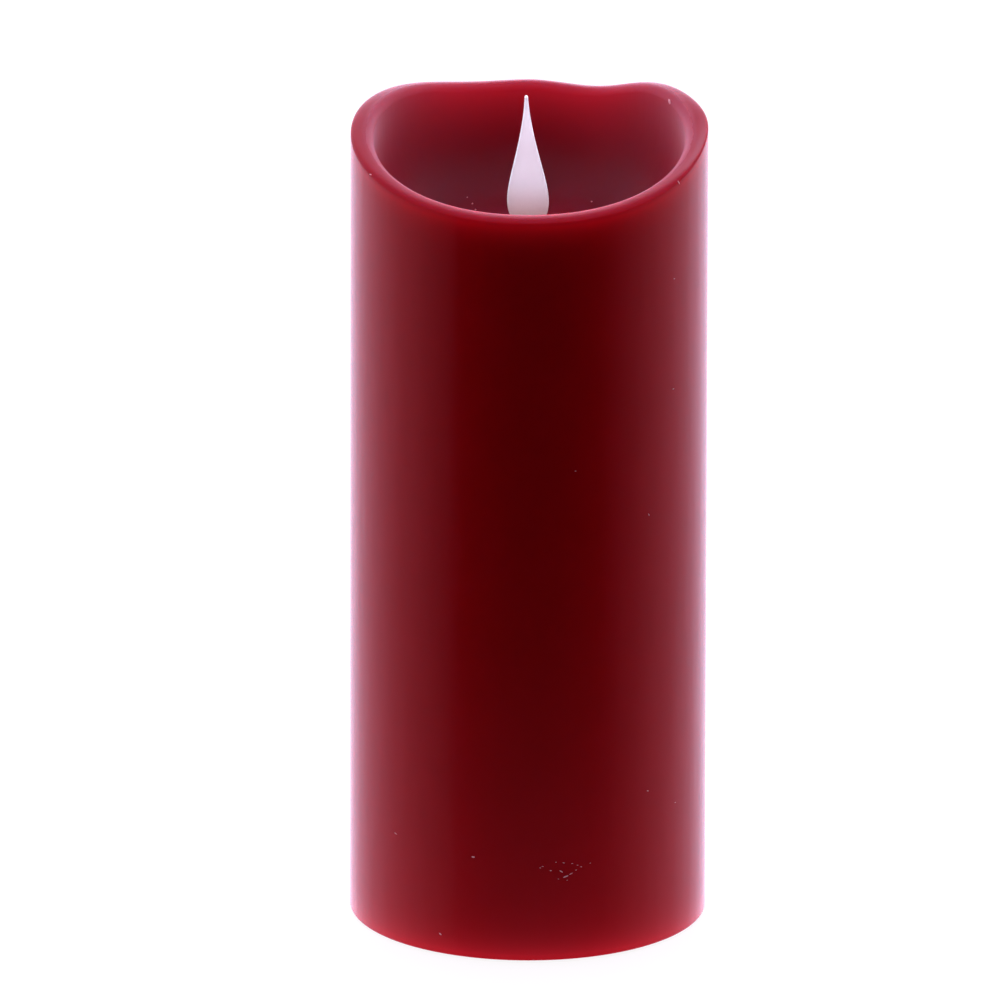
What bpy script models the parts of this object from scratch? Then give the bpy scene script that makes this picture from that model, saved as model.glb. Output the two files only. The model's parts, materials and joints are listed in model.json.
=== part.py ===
"""Flameless pillar candle with a moving flame, run by two D cells.

A hollow real-wax pillar stands over a plastic base. On the base stand the battery case, a column with the
circuit board, and a mechanism box in which a flat flame hangs on a wire above a drive coil.

Frame: +Z up, the front of the candle faces -Y, +X is to its right, and the origin is the bottom centre.
Every size below is in millimetres; make_object() turns them into metres.
"""

import math

import bmesh
import bpy
from mathutils import Matrix, Vector

MM = 0.001
GAP = 0.3                     # clearance between pieces that touch
FRONT = Vector((0.0, -1.0, 0.0))
# turns a shape drawn in the (x, y) plane so that its y becomes height and it faces the front
FACING_FRONT = Matrix(((1, 0, 0), (0, 0, -1), (0, 1, 0)))

# ---- driving dimensions ----------------------------------------------------------------------------

# wax pillar
PILLAR_RADIUS = 50.0
BORE_RADIUS = 43.5
WAX_BOTTOM = 0.3
WAX_FLOOR_TOP = 197.5
WAX_FLOOR_UNDERSIDE = 190.0
WAX_HOLE_RADIUS = 10.9
PILLAR_SEGMENTS = 60

# rim height around the pillar: a wide scoop in front and two small dips at the back
RIM_TOP = 237.1
RIM_DIPS = (                  # depth, direction from the front in degrees, half-width in degrees, power
    (18.9, -1.3, 99.7, 2.3),
    (7.2, -167.6, 32.2, 2.0),
    (5.6, 156.3, 20.5, 2.0),
)
RIM_SHOULDERS = (             # extra height of the rim's outer edge, direction and half-width in degrees
    (2.0, 84.0, 24.0),
    (0.5, -96.0, 26.0),
)

# the rim's section: values in front, at the sides and at the back
RIM_WIDTH = 4.0               # from the pillar's side to the rim's crest
EDGE_HEIGHT = (1.5, 1.4, 2.2)
EDGE_SQUARENESS = (2.0, 2.8, 2.0)
LIP_ROUND = (0.9, 2.5, 2.5)

# base plate, door and feet
BASE_RADIUS = 42.8
BASE_BOTTOM = 1.0
BASE_TOP = 4.8
LEDGE_BOTTOM = 3.0            # the door lies in a seat below this ledge
DOOR_SEAT_RADIUS = 20.2
DOOR_RADIUS = 19.9
DOOR_BOTTOM = 1.3
DOOR_TOP = 2.7
DOOR_HINGE = (0.0, -19.2, 1.5)
SEAT_CORNER = (25.4, -19.9)   # the seat's front corners are squared off for the swinging door
TONGUE_X = 12.0
TONGUE_HALF_WIDTH = 3.0
TONGUE_END = -22.0            # the tongues reach forward over the base's lip
TONGUE_BOTTOM = 1.7
TONGUE_POCKET = (-22.6, -16.0)
LATCH_HALF_WIDTH = 5.0
LATCH_START = 18.0
LATCH_END = 23.5
LATCH_TOP = 2.3
LATCH_GROOVES = (20.6, 21.8, 23.0)
FOOT_RADIUS = 3.5
FOOT_TOP = 1.9
FOOT_PLACES = {
    "foot_front_left": (-29.5, -23.5),
    "foot_front_right": (29.5, -23.5),
    "foot_rear_left": (-29.5, 23.5),
    "foot_rear_right": (29.5, 23.5),
}

# battery case and cells
BAY_SPACING = 17.8            # each bay's centre, left and right of the middle
BAY_RADIUS = 17.4
CASE_WALL = 1.6
CASE_BOTTOM = BASE_TOP + GAP
CASE_CEILING = 70.1
CASE_TOP = 72.1
CELL_RADIUS = 16.7
CELL_LENGTH = 61.5            # over the button
CELL_BUTTON_RADIUS = 4.75
CELL_BUTTON_HEIGHT = 1.5
BASE_SCREW_PLACES = ((-18.0, -27.0), (18.0, -27.0), (-18.0, 27.0), (18.0, 27.0))
EAR_HALF_WIDTH = 3.8
EAR_INNER_Y = 15.0
EAR_OUTER_Y = 30.6
EAR_TOP = 10.1
SPRING_WIRE = 0.4             # radius of the contact springs' wire
SPRING_NARROW = 3.5
SPRING_WIDE = 6.0
SPRING_TURNS = 2.5
UPRIGHT_CELL_BOTTOM = 7.5
CONTACT_THICKNESS = 0.5
CONTACT_BOTTOM = 69.3
BRIDGE_BOTTOM = 3.0
BRIDGE_TOP = 3.6
TAB_X = 24.05
TAB_HALF_WIDTH = 1.5
TAB_TOP = 76.0

# screws: head radius, head height, shank radius, length
BASE_SCREW = (2.8, 1.4, 1.4, 8.2)
COLUMN_SCREW = (2.6, 1.4, 1.4, 9.5)
BOX_SCREW = (2.3, 1.2, 1.15, 9.5)
HEAD_HOLE_RADIUS = 3.2
SHANK_HOLE_RADIUS = 1.75

# slide switch
SWITCH_Y = 31.0
SWITCH_TRAVEL = 4.0
SWITCH_KNOB_HALF = (1.2, 1.1)
SWITCH_KNOB_TOP = 6.1
SWITCH_WINDOW_HALF = (3.6, 1.5)
SWITCH_DISH_HALF_SPAN = 5.0
SWITCH_DISH_RADIUS = 3.2
SWITCH_DISH_TOP = 2.2
SWITCH_CAN_HALF = (6.0, 3.2)
SWITCH_CAN_TOP = 10.1
SWITCH_FLANGE_HALF = (9.5, 2.6)
SWITCH_FLANGE = 0.7

# column and circuit board
COLUMN_RADIUS = 12.8
COLUMN_BORE = 11.2
COLUMN_BOTTOM = CASE_TOP + GAP
COLUMN_TOP = 148.0
COLUMN_SCREW_Y = 15.8
COLUMN_FOOT_RADIUS = 3.1
COLUMN_FOOT = 2.2
RAIL_INNER_X = 8.8
RAIL_OUTER_X = 12.0
RAIL_HALF_DEPTH = 2.4
RAIL_BOTTOM = 90.0
RAIL_TOP = 134.0
COLUMN_WINDOW = ((-7.0, 5.0, 84.0), (7.0, 16.0, 130.0))
BOARD_BOTTOM = 92.0
BOARD_TOP = 130.0
BOARD_HALF_WIDTH = 9.8
BOARD_THICKNESS = 1.6
BOARD_HOLE_INSET = 4.0
BOARD_HOLE_RADIUS = 1.2
CHIP_Z = 114.0
CAPACITOR_PLACE = (4.6, 122.0)
TRANSISTOR_PLACE = (-4.6, 121.5)

# mechanism box, cap, coil and lamp
BOX_HALF_X = 14.0
BOX_HALF_Y = 13.3
BOX_WALL = 1.8
BOX_BOTTOM = COLUMN_TOP + GAP
BOX_FLOOR = 150.3
BOX_TOP = 187.4
SPIGOT_BOTTOM = 140.0
SPIGOT_RADIUS = COLUMN_BORE - GAP
SPIGOT_BORE = 9.4
CABLE_HOLE = (6.2, -4.8)
CABLE_HOLE_RADIUS = 1.2
BOX_EAR_END = 19.0
BOX_EAR_SIZE = 4.0            # depth of each ear, and half its height
BOX_SCREW_PLACE = (16.5, 164.0)
BOX_SCREW_HEAD_Y = -5.95
BOX_SCREW_HOLE = 1.5
CAP_BOTTOM = BOX_TOP + GAP
CAP_PLATE_TOP = WAX_FLOOR_UNDERSIDE - GAP
CAP_BOSS_RADIUS = 10.5
CAP_BOSS_TOP = 196.3
CAP_SLOT_HALF = (6.3, 2.7)
COIL_BOTTOM = BOX_FLOOR + GAP
COIL_TOP = 160.6
COIL_FLANGE_RADIUS = 6.5
COIL_FLANGE = 1.2
COIL_CORE_RADIUS = 3.0
COIL_BORE_RADIUS = 1.2
WINDING_RADIUS = 6.0
LAMP_FOOT = (7.2, -7.2, 180.5)
LAMP_TARGET = (0.0, 0.0, 206.0)
LAMP_RADIUS = 2.5
LAMP_FLANGE_RADIUS = 2.85
LAMP_LENGTH = 8.6
LAMP_WINDOW_RADIUS = 2.9

# flame and the wire it hangs on
PIVOT_Z = 186.4
PIVOT = (0.0, 0.0, PIVOT_Z)
WIRE_RADIUS = 0.4
WIRE_HALF_LENGTH = 12.6
WIRE_NOTCH_HALF = 0.75
FLAME_TIP = 238.8
FLAME_LENGTH = 40.0
FLAME_THICKNESS = 1.8
FLAME_TEARDROP = 0.8          # share of that length which is teardrop only, before the neck joins in
FLAME_NECK_HALF = 2.25
FLAME_LEAN = 1.0              # degrees to the left above the wire
FLAME_EYE_RADIUS = 3.3
FLAME_EYE_HOLE = 0.85
TAIL_BOTTOM = 168.4
MAGNET_RADIUS = 3.5
MAGNET_HEIGHT = 4.0

# finishes: colour, roughness, metallic
WAX_RED = ((0.115, 0.006, 0.010), 0.30, 0.0)
FROSTED_WHITE = ((0.82, 0.76, 0.82), 0.45, 0.0)
BLACK_PLASTIC = ((0.020, 0.020, 0.022), 0.45, 0.0)
WHITE_PLASTIC = ((0.75, 0.74, 0.70), 0.45, 0.0)
NATURAL_PLASTIC = ((0.60, 0.58, 0.50), 0.50, 0.0)
BOARD_GREEN = ((0.02, 0.16, 0.05), 0.40, 0.0)
CHIP_BLACK = ((0.015, 0.015, 0.015), 0.35, 0.0)
SLEEVE_BLUE = ((0.02, 0.03, 0.12), 0.30, 0.0)
STEEL = ((0.56, 0.56, 0.55), 0.30, 1.0)
NICKEL = ((0.66, 0.63, 0.58), 0.25, 1.0)
COPPER = ((0.72, 0.30, 0.14), 0.30, 1.0)
CELL_JACKET = ((0.10, 0.11, 0.12), 0.35, 0.3)
LAMP_CLEAR = ((0.85, 0.82, 0.70), 0.10, 0.0)
RUBBER = ((0.03, 0.03, 0.03), 0.85, 0.0)
WIRE_RED = ((0.55, 0.02, 0.02), 0.45, 0.0)
WIRE_BLACK = ((0.02, 0.02, 0.02), 0.45, 0.0)
WIRE_YELLOW = ((0.70, 0.50, 0.05), 0.45, 0.0)
WIRE_WHITE = ((0.75, 0.75, 0.72), 0.45, 0.0)


# ---- scene and object helpers ----------------------------------------------------------------------

def clear_scene():
    for obj in list(bpy.data.objects):
        bpy.data.objects.remove(obj, do_unlink=True)


def make_material(name, finish):
    colour, roughness, metallic = finish
    material = bpy.data.materials.new(name)
    material.use_nodes = True
    shader = material.node_tree.nodes["Principled BSDF"]
    shader.inputs["Base Color"].default_value = (*colour, 1.0)
    shader.inputs["Roughness"].default_value = roughness
    shader.inputs["Metallic"].default_value = metallic
    return material


def make_object(name, bm, finish=None, origin=(0.0, 0.0, 0.0)):
    """Turn a bmesh in millimetres into an object in metres whose origin is at the given point."""
    bmesh.ops.translate(bm, vec=-Vector(origin), verts=bm.verts)
    bmesh.ops.scale(bm, vec=(MM, MM, MM), verts=bm.verts)
    bmesh.ops.recalc_face_normals(bm, faces=bm.faces)
    mesh = bpy.data.meshes.new(name)
    bm.to_mesh(mesh)
    bm.free()
    mesh.shade_smooth()
    mesh.set_sharp_from_angle(angle=math.radians(35))
    obj = bpy.data.objects.new(name, mesh)
    obj.location = Vector(origin) * MM
    bpy.context.scene.collection.objects.link(obj)
    if finish:
        mesh.materials.append(make_material(name, finish))
    return obj


def add_boolean(obj, bm, operation):
    """Cut or join a shape given in world millimetres; the guide object itself isn't part of the candle."""
    guide = make_object(f"{obj.name}_{operation.lower()}_{len(obj.modifiers)}", bm)
    guide.hide_render = True
    guide.display_type = "WIRE"
    modifier = obj.modifiers.new(operation.title(), "BOOLEAN")
    modifier.operation = operation
    modifier.solver = "EXACT"
    modifier.object = guide


def cut(obj, bm):
    add_boolean(obj, bm, "DIFFERENCE")


def join(obj, bm):
    add_boolean(obj, bm, "UNION")


# ---- shape helpers, all in millimetres -------------------------------------------------------------

def box(low, high):
    bm = bmesh.new()
    bmesh.ops.create_cube(bm, size=1.0)
    low, high = Vector(low), Vector(high)
    bmesh.ops.scale(bm, vec=high - low, verts=bm.verts)
    bmesh.ops.translate(bm, vec=(low + high) / 2, verts=bm.verts)
    return bm


def prism(outline, bottom, top):
    """Extrude a closed outline of (x, y) points from one height to another."""
    bm = bmesh.new()
    face = bm.faces.new([bm.verts.new((x, y, bottom)) for x, y in outline])
    lifted = bmesh.ops.extrude_face_region(bm, geom=[face])["geom"]
    top_verts = [item for item in lifted if isinstance(item, bmesh.types.BMVert)]
    bmesh.ops.translate(bm, vec=(0, 0, top - bottom), verts=top_verts)
    bmesh.ops.recalc_face_normals(bm, faces=bm.faces)
    return bm


def circle(radius, centre=(0.0, 0.0), segments=32):
    turns = [2 * math.pi * step / segments for step in range(segments)]
    return [(centre[0] + radius * math.cos(a), centre[1] + radius * math.sin(a)) for a in turns]


def cylinder(radius, bottom, top, centre=(0.0, 0.0), segments=32):
    return prism(circle(radius, centre, segments), bottom, top)


def stadium(half_span, radius, steps=10):
    """Outline of two half circles, half_span left and right of the middle, joined by straight sides."""
    points = []
    for side in (1, -1):
        for step in range(steps + 1):
            a = math.pi * (step / steps - 0.5)
            points.append((side * (half_span + radius * math.cos(a)), side * radius * math.sin(a)))
    return points


def revolve(profile, centre=(0.0, 0.0), segments=32):
    """Turn a closed profile of (radius, height) points about the vertical; radius 0 is on the axis."""
    bm = bmesh.new()
    rings = []
    for radius, height in profile:
        if radius == 0:
            rings.append([bm.verts.new((*centre, height))])
        else:
            rings.append([bm.verts.new((x, y, height)) for x, y in circle(radius, centre, segments)])
    for index, ring in enumerate(rings):
        following = rings[(index + 1) % len(rings)]
        if len(ring) == 1 and len(following) == 1:
            continue
        for step in range(segments):
            after = (step + 1) % segments
            corners = [ring[step % len(ring)], ring[after % len(ring)],
                       following[after % len(following)], following[step % len(following)]]
            bm.faces.new(list(dict.fromkeys(corners)))
    bmesh.ops.recalc_face_normals(bm, faces=bm.faces)
    return bm


def aim(bm, foot, target):
    """Move a shape built upright on the origin so that it stands at foot and points at target."""
    turn = (Vector(target) - Vector(foot)).to_track_quat("Z", "Y")
    bmesh.ops.rotate(bm, cent=(0, 0, 0), matrix=turn.to_matrix(), verts=bm.verts)
    bmesh.ops.translate(bm, vec=foot, verts=bm.verts)
    return bm


def smooth_path(points, steps=6):
    """Points along a smooth curve through the given ones (a Catmull-Rom spline)."""
    points = [Vector(point) for point in points]
    ends = [2 * points[0] - points[1], *points, 2 * points[-1] - points[-2]]
    path = []
    for before, start, end, after in zip(ends, ends[1:], ends[2:], ends[3:]):
        for step in range(steps):
            t = step / steps
            path.append(0.5 * (2 * start + (end - before) * t
                               + (2 * before - 5 * start + 4 * end - after) * t ** 2
                               + (3 * start - before - 3 * end + after) * t ** 3))
    path.append(points[-1])
    return path


def sweep(path, radius, sides=8):
    """A round rod along a path, with flat ends; the section is carried along without twisting."""
    bm = bmesh.new()
    normal = None
    rings = []
    for index, point in enumerate(path):
        before = path[max(index - 1, 0)]
        after = path[min(index + 1, len(path) - 1)]
        tangent = (after - before).normalized()
        normal = tangent.orthogonal() if normal is None else normal - tangent * normal.dot(tangent)
        normal.normalize()
        side = tangent.cross(normal)
        turns = [2 * math.pi * step / sides for step in range(sides)]
        spokes = [math.cos(a) * normal + math.sin(a) * side for a in turns]
        rings.append([bm.verts.new(point + radius * spoke) for spoke in spokes])
    for ring, following in zip(rings, rings[1:]):
        for step in range(sides):
            after = (step + 1) % sides
            bm.faces.new((ring[step], ring[after], following[after], following[step]))
    bm.faces.new(rings[0])
    bm.faces.new(rings[-1])
    bmesh.ops.recalc_face_normals(bm, faces=bm.faces)
    return bm


def coil_path(centre, bottom, top, bottom_radius, top_radius, turns, steps_per_turn=12):
    """A conical helix standing on its bottom height."""
    steps = int(turns * steps_per_turn)
    path = []
    for step in range(steps + 1):
        part = step / steps
        angle = 2 * math.pi * turns * part
        radius = bottom_radius + (top_radius - bottom_radius) * part
        path.append(Vector((centre[0] + radius * math.cos(angle), centre[1] + radius * math.sin(angle),
                            bottom + (top - bottom) * part)))
    return path


def screw(name, foot, target, head_radius, head_height, shank_radius, length):
    """A pan-head screw whose head stands at foot and whose shank points at target."""
    profile = [(0, 0), (head_radius - 0.5, 0), (head_radius, 0.5), (head_radius, head_height),
               (shank_radius, head_height), (shank_radius, length - 1), (0, length)]
    make_object(name, aim(revolve(profile, segments=12), foot, target), STEEL)


# ---- wax pillar ------------------------------------------------------------------------------------

def bell(direction, middle, half_width, power=2.0):
    """1 in one direction, falling to 0 away from it; directions are in degrees from the front."""
    away = abs((direction - middle + 180) % 360 - 180)
    return math.exp(-(away / half_width) ** power)


def rim_height(direction):
    """Height of the rim's crest in a direction, positive to the right."""
    return RIM_TOP - sum(depth * bell(direction, *place) for depth, *place in RIM_DIPS)


def shoulder_height(direction):
    return sum(height * bell(direction, *place) for height, *place in RIM_SHOULDERS)


def by_direction(direction, values):
    """Blend of the values for the front, the sides and the back."""
    front, sides, back = values
    half_width, power = 60.0, 4.0
    return (sides + (front - sides) * bell(direction, 0.0, half_width, power)
            + (back - sides) * bell(direction, 180.0, half_width, power))


def outer_edge(direction):
    """Points over the rim from the side to the crest: a squared-off ellipse with raised shoulders."""
    crest, shoulder = rim_height(direction), shoulder_height(direction)
    height, squareness = by_direction(direction, EDGE_HEIGHT), by_direction(direction, EDGE_SQUARENESS)
    steps = 5
    points = []
    for step in range(steps + 1):
        a = math.pi / 2 * step / steps
        out = math.cos(a) ** (2 / squareness)
        up = math.sin(a) ** (2 / squareness)
        points.append((PILLAR_RADIUS - RIM_WIDTH * (1 - out), crest + shoulder * out ** 2 - height * (1 - up)))
    return points


def arc(centre, size, start, end, steps):
    """Points of a rounded edge of some (width, height) in the (radius, height) plane, angles in degrees."""
    angles = [math.radians(start + (end - start) * step / steps) for step in range(steps + 1)]
    return [(centre[0] + size[0] * math.cos(a), centre[1] + size[1] * math.sin(a)) for a in angles]


def wax_section(direction):
    """The pillar's closed section of (radius, height) points in a direction."""
    foot_round = 0.6
    crest = rim_height(direction)
    lip = by_direction(direction, LIP_ROUND)
    lip_centre = PILLAR_RADIUS - RIM_WIDTH
    lip_radius = lip_centre - lip
    section = arc((PILLAR_RADIUS - foot_round, WAX_BOTTOM + foot_round), (foot_round, foot_round), -90, 0, 2)
    section += outer_edge(direction)
    section += arc((lip_centre, crest - lip), (lip, lip), 120, 180, 2)
    bowl_steps = 6
    floor_radius = 15.0
    bowl_power = 0.8
    bowl_top = crest - lip
    for step in range(1, bowl_steps + 1):
        a = math.pi / 2 * step / bowl_steps
        section.append((floor_radius + (lip_radius - floor_radius) * math.cos(a) ** bowl_power,
                        bowl_top - (bowl_top - WAX_FLOOR_TOP) * math.sin(a) ** bowl_power))
    section.append((WAX_HOLE_RADIUS, WAX_FLOOR_TOP))
    section.append((WAX_HOLE_RADIUS, WAX_FLOOR_UNDERSIDE))
    shoulder = 6.0
    section += arc((BORE_RADIUS - shoulder, WAX_FLOOR_UNDERSIDE - shoulder), (shoulder, shoulder), 90, 0, 3)
    section.append((BORE_RADIUS, WAX_BOTTOM))
    return section


def make_wax_shell():
    bm = bmesh.new()
    sections = []
    for step in range(PILLAR_SEGMENTS):
        direction = 360 * step / PILLAR_SEGMENTS
        a = math.radians(direction)
        sections.append([bm.verts.new((radius * math.sin(a), -radius * math.cos(a), height))
                         for radius, height in wax_section(direction)])
    for section, following in zip(sections, sections[1:] + sections[:1]):
        for index in range(len(section)):
            after = (index + 1) % len(section)
            bm.faces.new((section[index], following[index], following[after], section[after]))
    make_object("wax_shell", bm, WAX_RED)


# ---- base, door, switch and feet -------------------------------------------------------------------

def make_base_plate():
    disc = cylinder(BASE_RADIUS, BASE_BOTTOM, BASE_TOP, segments=48)
    plate = make_object("base_plate", disc, BLACK_PLASTIC)
    below, above = BASE_BOTTOM - 1, BASE_TOP + 1
    cut(plate, prism(stadium(BAY_SPACING, DOOR_SEAT_RADIUS), below, LEDGE_BOTTOM))
    corner_x, corner_y = SEAT_CORNER
    cut(plate, box((-corner_x, corner_y, below), (corner_x, corner_y / 2, LEDGE_BOTTOM)))
    cut(plate, prism(stadium(BAY_SPACING, BAY_RADIUS + 0.4), LEDGE_BOTTOM - 1, above))
    pocket_half = TONGUE_HALF_WIDTH + GAP
    pocket_front, pocket_rear = TONGUE_POCKET
    for x in (-TONGUE_X, TONGUE_X):
        cut(plate, box((x - pocket_half, pocket_front, TONGUE_BOTTOM - GAP),
                       (x + pocket_half, pocket_rear, above)))
    latch_half = LATCH_HALF_WIDTH + GAP
    cut(plate, box((-latch_half, LATCH_START, below), (latch_half, LATCH_END + 0.5, LATCH_TOP + 0.6)))
    for place in BASE_SCREW_PLACES:
        cut(plate, cylinder(HEAD_HOLE_RADIUS, below, LEDGE_BOTTOM, place, 16))
        cut(plate, cylinder(SHANK_HOLE_RADIUS, below, above, place, 12))
    for place in FOOT_PLACES.values():
        cut(plate, cylinder(FOOT_RADIUS + GAP, below, FOOT_TOP + GAP, place, 16))
    window_x, window_y = SWITCH_WINDOW_HALF
    cut(plate, box((-window_x, SWITCH_Y - window_y, below), (window_x, SWITCH_Y + window_y, above)))
    dish = [(x, y + SWITCH_Y) for x, y in stadium(SWITCH_DISH_HALF_SPAN, SWITCH_DISH_RADIUS, 8)]
    cut(plate, prism(dish, below, SWITCH_DISH_TOP))


def make_battery_door():
    door = make_object("battery_door", prism(stadium(BAY_SPACING, DOOR_RADIUS), DOOR_BOTTOM, DOOR_TOP),
                       BLACK_PLASTIC, DOOR_HINGE)
    for x in (-TONGUE_X, TONGUE_X):
        join(door, box((x - TONGUE_HALF_WIDTH, TONGUE_END, TONGUE_BOTTOM),
                       (x + TONGUE_HALF_WIDTH, TONGUE_END + 4.0, DOOR_TOP)))
    join(door, box((-LATCH_HALF_WIDTH, LATCH_START, DOOR_BOTTOM), (LATCH_HALF_WIDTH, LATCH_END, LATCH_TOP)))
    groove_half, groove_depth = 0.25, 0.3
    groove_x = LATCH_HALF_WIDTH - 1.0
    for y in LATCH_GROOVES:
        cut(door, box((-groove_x, y - groove_half, DOOR_BOTTOM - 1),
                      (groove_x, y + groove_half, DOOR_BOTTOM + groove_depth)))


def make_bridge_contact():
    """Strip on the door that joins the two cells' lower ends, with a seat for its spring."""
    half_depth = 7.0
    strip = prism(stadium(BAY_SPACING, half_depth, 10), BRIDGE_BOTTOM, BRIDGE_TOP)
    make_object("bridge_contact", strip, NICKEL, DOOR_HINGE)


def make_bridge_spring():
    bottom = BRIDGE_TOP + GAP + SPRING_WIRE
    top = UPRIGHT_CELL_BOTTOM - GAP - SPRING_WIRE
    path = coil_path((-BAY_SPACING, 0.0), bottom, top, SPRING_WIDE, SPRING_NARROW, SPRING_TURNS)
    make_object("bridge_spring", sweep(path, SPRING_WIRE, 6), STEEL, DOOR_HINGE)


def make_foot(name, place):
    edge = 0.4
    profile = [(0, 0), (FOOT_RADIUS - edge, 0), (FOOT_RADIUS, edge), (FOOT_RADIUS, FOOT_TOP), (0, FOOT_TOP)]
    make_object(name, revolve(profile, place, 16), RUBBER)


def make_switch_body():
    """A steel can with a mounting flange; the knob's stem slides in the slot under it."""
    def middle_box(half_x, half_y, bottom, top):
        return box((-half_x, SWITCH_Y - half_y, bottom), (half_x, SWITCH_Y + half_y, top))

    body = make_object("switch_body", middle_box(*SWITCH_CAN_HALF, CASE_BOTTOM, SWITCH_CAN_TOP), STEEL)
    join(body, middle_box(*SWITCH_FLANGE_HALF, CASE_BOTTOM, CASE_BOTTOM + SWITCH_FLANGE))
    cut(body, middle_box(*SWITCH_WINDOW_HALF, CASE_BOTTOM - 1, SWITCH_KNOB_TOP + 0.4))


def make_switch_knob():
    """The knob rests at the left end of its travel, which is off."""
    x = -SWITCH_TRAVEL / 2
    half_x, half_y = SWITCH_KNOB_HALF
    stem = box((x - half_x, SWITCH_Y - half_y, DOOR_BOTTOM), (x + half_x, SWITCH_Y + half_y, SWITCH_KNOB_TOP))
    knob = make_object("switch_knob", stem, WHITE_PLASTIC, (x, SWITCH_Y, DOOR_BOTTOM))
    bevel = knob.modifiers.new("Bevel", "BEVEL")
    bevel.width = 0.25 * MM
    bevel.segments = 2


# ---- battery case, contacts and cells --------------------------------------------------------------

def make_battery_case():
    outer = stadium(BAY_SPACING, BAY_RADIUS + CASE_WALL, 14)
    case = make_object("battery_case", prism(outer, CASE_BOTTOM, CASE_TOP), BLACK_PLASTIC)
    for x, y in BASE_SCREW_PLACES:
        side = math.copysign(1, y)
        low_y, high_y = sorted((side * EAR_INNER_Y, side * EAR_OUTER_Y))
        join(case, box((x - EAR_HALF_WIDTH, low_y, CASE_BOTTOM), (x + EAR_HALF_WIDTH, high_y, EAR_TOP)))
    for x in (-BAY_SPACING, BAY_SPACING):
        cut(case, cylinder(BAY_RADIUS, CASE_BOTTOM - 1, CASE_CEILING, (x, 0.0), 32))
    for place in BASE_SCREW_PLACES:
        cut(case, cylinder(SHANK_HOLE_RADIUS, CASE_BOTTOM - 1, EAR_TOP + 1, place, 12))
    hole_bottom = CASE_TOP - 8.1
    for y in (-COLUMN_SCREW_Y, COLUMN_SCREW_Y):
        cut(case, cylinder(SHANK_HOLE_RADIUS, hole_bottom, CASE_TOP + 1, (0.0, y), 12))
    slot_x, slot_y = CONTACT_THICKNESS / 2 + 0.4, TAB_HALF_WIDTH + 0.4
    for x in (-TAB_X, TAB_X):
        cut(case, box((x - slot_x, -slot_y, CASE_CEILING - 1), (x + slot_x, slot_y, CASE_TOP + 1)))


def make_cell(name, x, button_up):
    """A D cell; its bottom height leaves room for the bridge under it."""
    radius, edge = CELL_RADIUS, 0.8
    can = CELL_LENGTH - CELL_BUTTON_HEIGHT
    profile = [(0, 0), (radius - edge, 0), (radius, edge), (radius, can - edge), (radius - edge, can),
               (CELL_BUTTON_RADIUS, can), (CELL_BUTTON_RADIUS, CELL_LENGTH), (0, CELL_LENGTH)]
    if button_up:
        profile = [(r, UPRIGHT_CELL_BOTTOM + z) for r, z in profile]
    else:
        top = BRIDGE_TOP + GAP + CELL_LENGTH
        profile = [(r, top - z) for r, z in profile]
    make_object(name, revolve(profile, (x, 0.0), 28), CELL_JACKET)


def make_top_contact(name, side):
    """Contact plate under the case's ceiling, with a solder tab that stands up through it."""
    x = side * BAY_SPACING
    top = CONTACT_BOTTOM + CONTACT_THICKNESS
    plate = make_object(name, box((x - 6.5, -6.0, CONTACT_BOTTOM), (x + 6.5, 6.0, top)), NICKEL)
    half = CONTACT_THICKNESS / 2
    tab_x = side * TAB_X
    join(plate, box((tab_x - half, -TAB_HALF_WIDTH, CONTACT_BOTTOM + 0.1),
                    (tab_x + half, TAB_HALF_WIDTH, TAB_TOP)))


def make_negative_spring():
    bottom = BRIDGE_TOP + GAP + CELL_LENGTH + GAP + SPRING_WIRE
    top = CONTACT_BOTTOM - GAP - SPRING_WIRE
    path = coil_path((BAY_SPACING, 0.0), bottom, top, SPRING_NARROW, SPRING_WIDE, SPRING_TURNS)
    make_object("negative_spring", sweep(path, SPRING_WIRE, 6), STEEL)


# ---- column and circuit board ----------------------------------------------------------------------

def make_support_column():
    """A tube on a foot, open at the back, with two slotted rails that hold the circuit board."""
    tube = cylinder(COLUMN_RADIUS, COLUMN_BOTTOM, COLUMN_TOP, segments=28)
    column = make_object("support_column", tube, BLACK_PLASTIC)
    foot = [(y, x) for x, y in stadium(COLUMN_SCREW_Y, COLUMN_FOOT_RADIUS, 10)]
    join(column, prism(foot, COLUMN_BOTTOM, COLUMN_BOTTOM + COLUMN_FOOT))
    cut(column, cylinder(COLUMN_BORE, COLUMN_BOTTOM - 1, COLUMN_TOP + 1, segments=28))
    for side in (-1, 1):
        low_x, high_x = sorted((side * RAIL_INNER_X, side * RAIL_OUTER_X))
        join(column, box((low_x, -RAIL_HALF_DEPTH, RAIL_BOTTOM), (high_x, RAIL_HALF_DEPTH, RAIL_TOP)))
    half_slot = BOARD_THICKNESS / 2 + GAP
    half_width = BOARD_HALF_WIDTH + GAP
    cut(column, box((-half_width, -half_slot, BOARD_BOTTOM - GAP), (half_width, half_slot, RAIL_TOP + 1)))
    cut(column, box(*COLUMN_WINDOW))
    for y in (-COLUMN_SCREW_Y, COLUMN_SCREW_Y):
        cut(column, cylinder(SHANK_HOLE_RADIUS, COLUMN_BOTTOM - 1, COLUMN_BOTTOM + 4, (0.0, y), 16))


def make_circuit_board():
    half = BOARD_THICKNESS / 2
    blank = box((-BOARD_HALF_WIDTH, -half, BOARD_BOTTOM), (BOARD_HALF_WIDTH, half, BOARD_TOP))
    board = make_object("circuit_board", blank, BOARD_GREEN)
    for z in (BOARD_BOTTOM + BOARD_HOLE_INSET, BOARD_TOP - BOARD_HOLE_INSET):
        hole = cylinder(BOARD_HOLE_RADIUS, -2.0, 2.0, (0.0, z), 16)
        bmesh.ops.rotate(hole, cent=(0, 0, 0), matrix=FACING_FRONT, verts=hole.verts)
        cut(board, hole)


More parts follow.
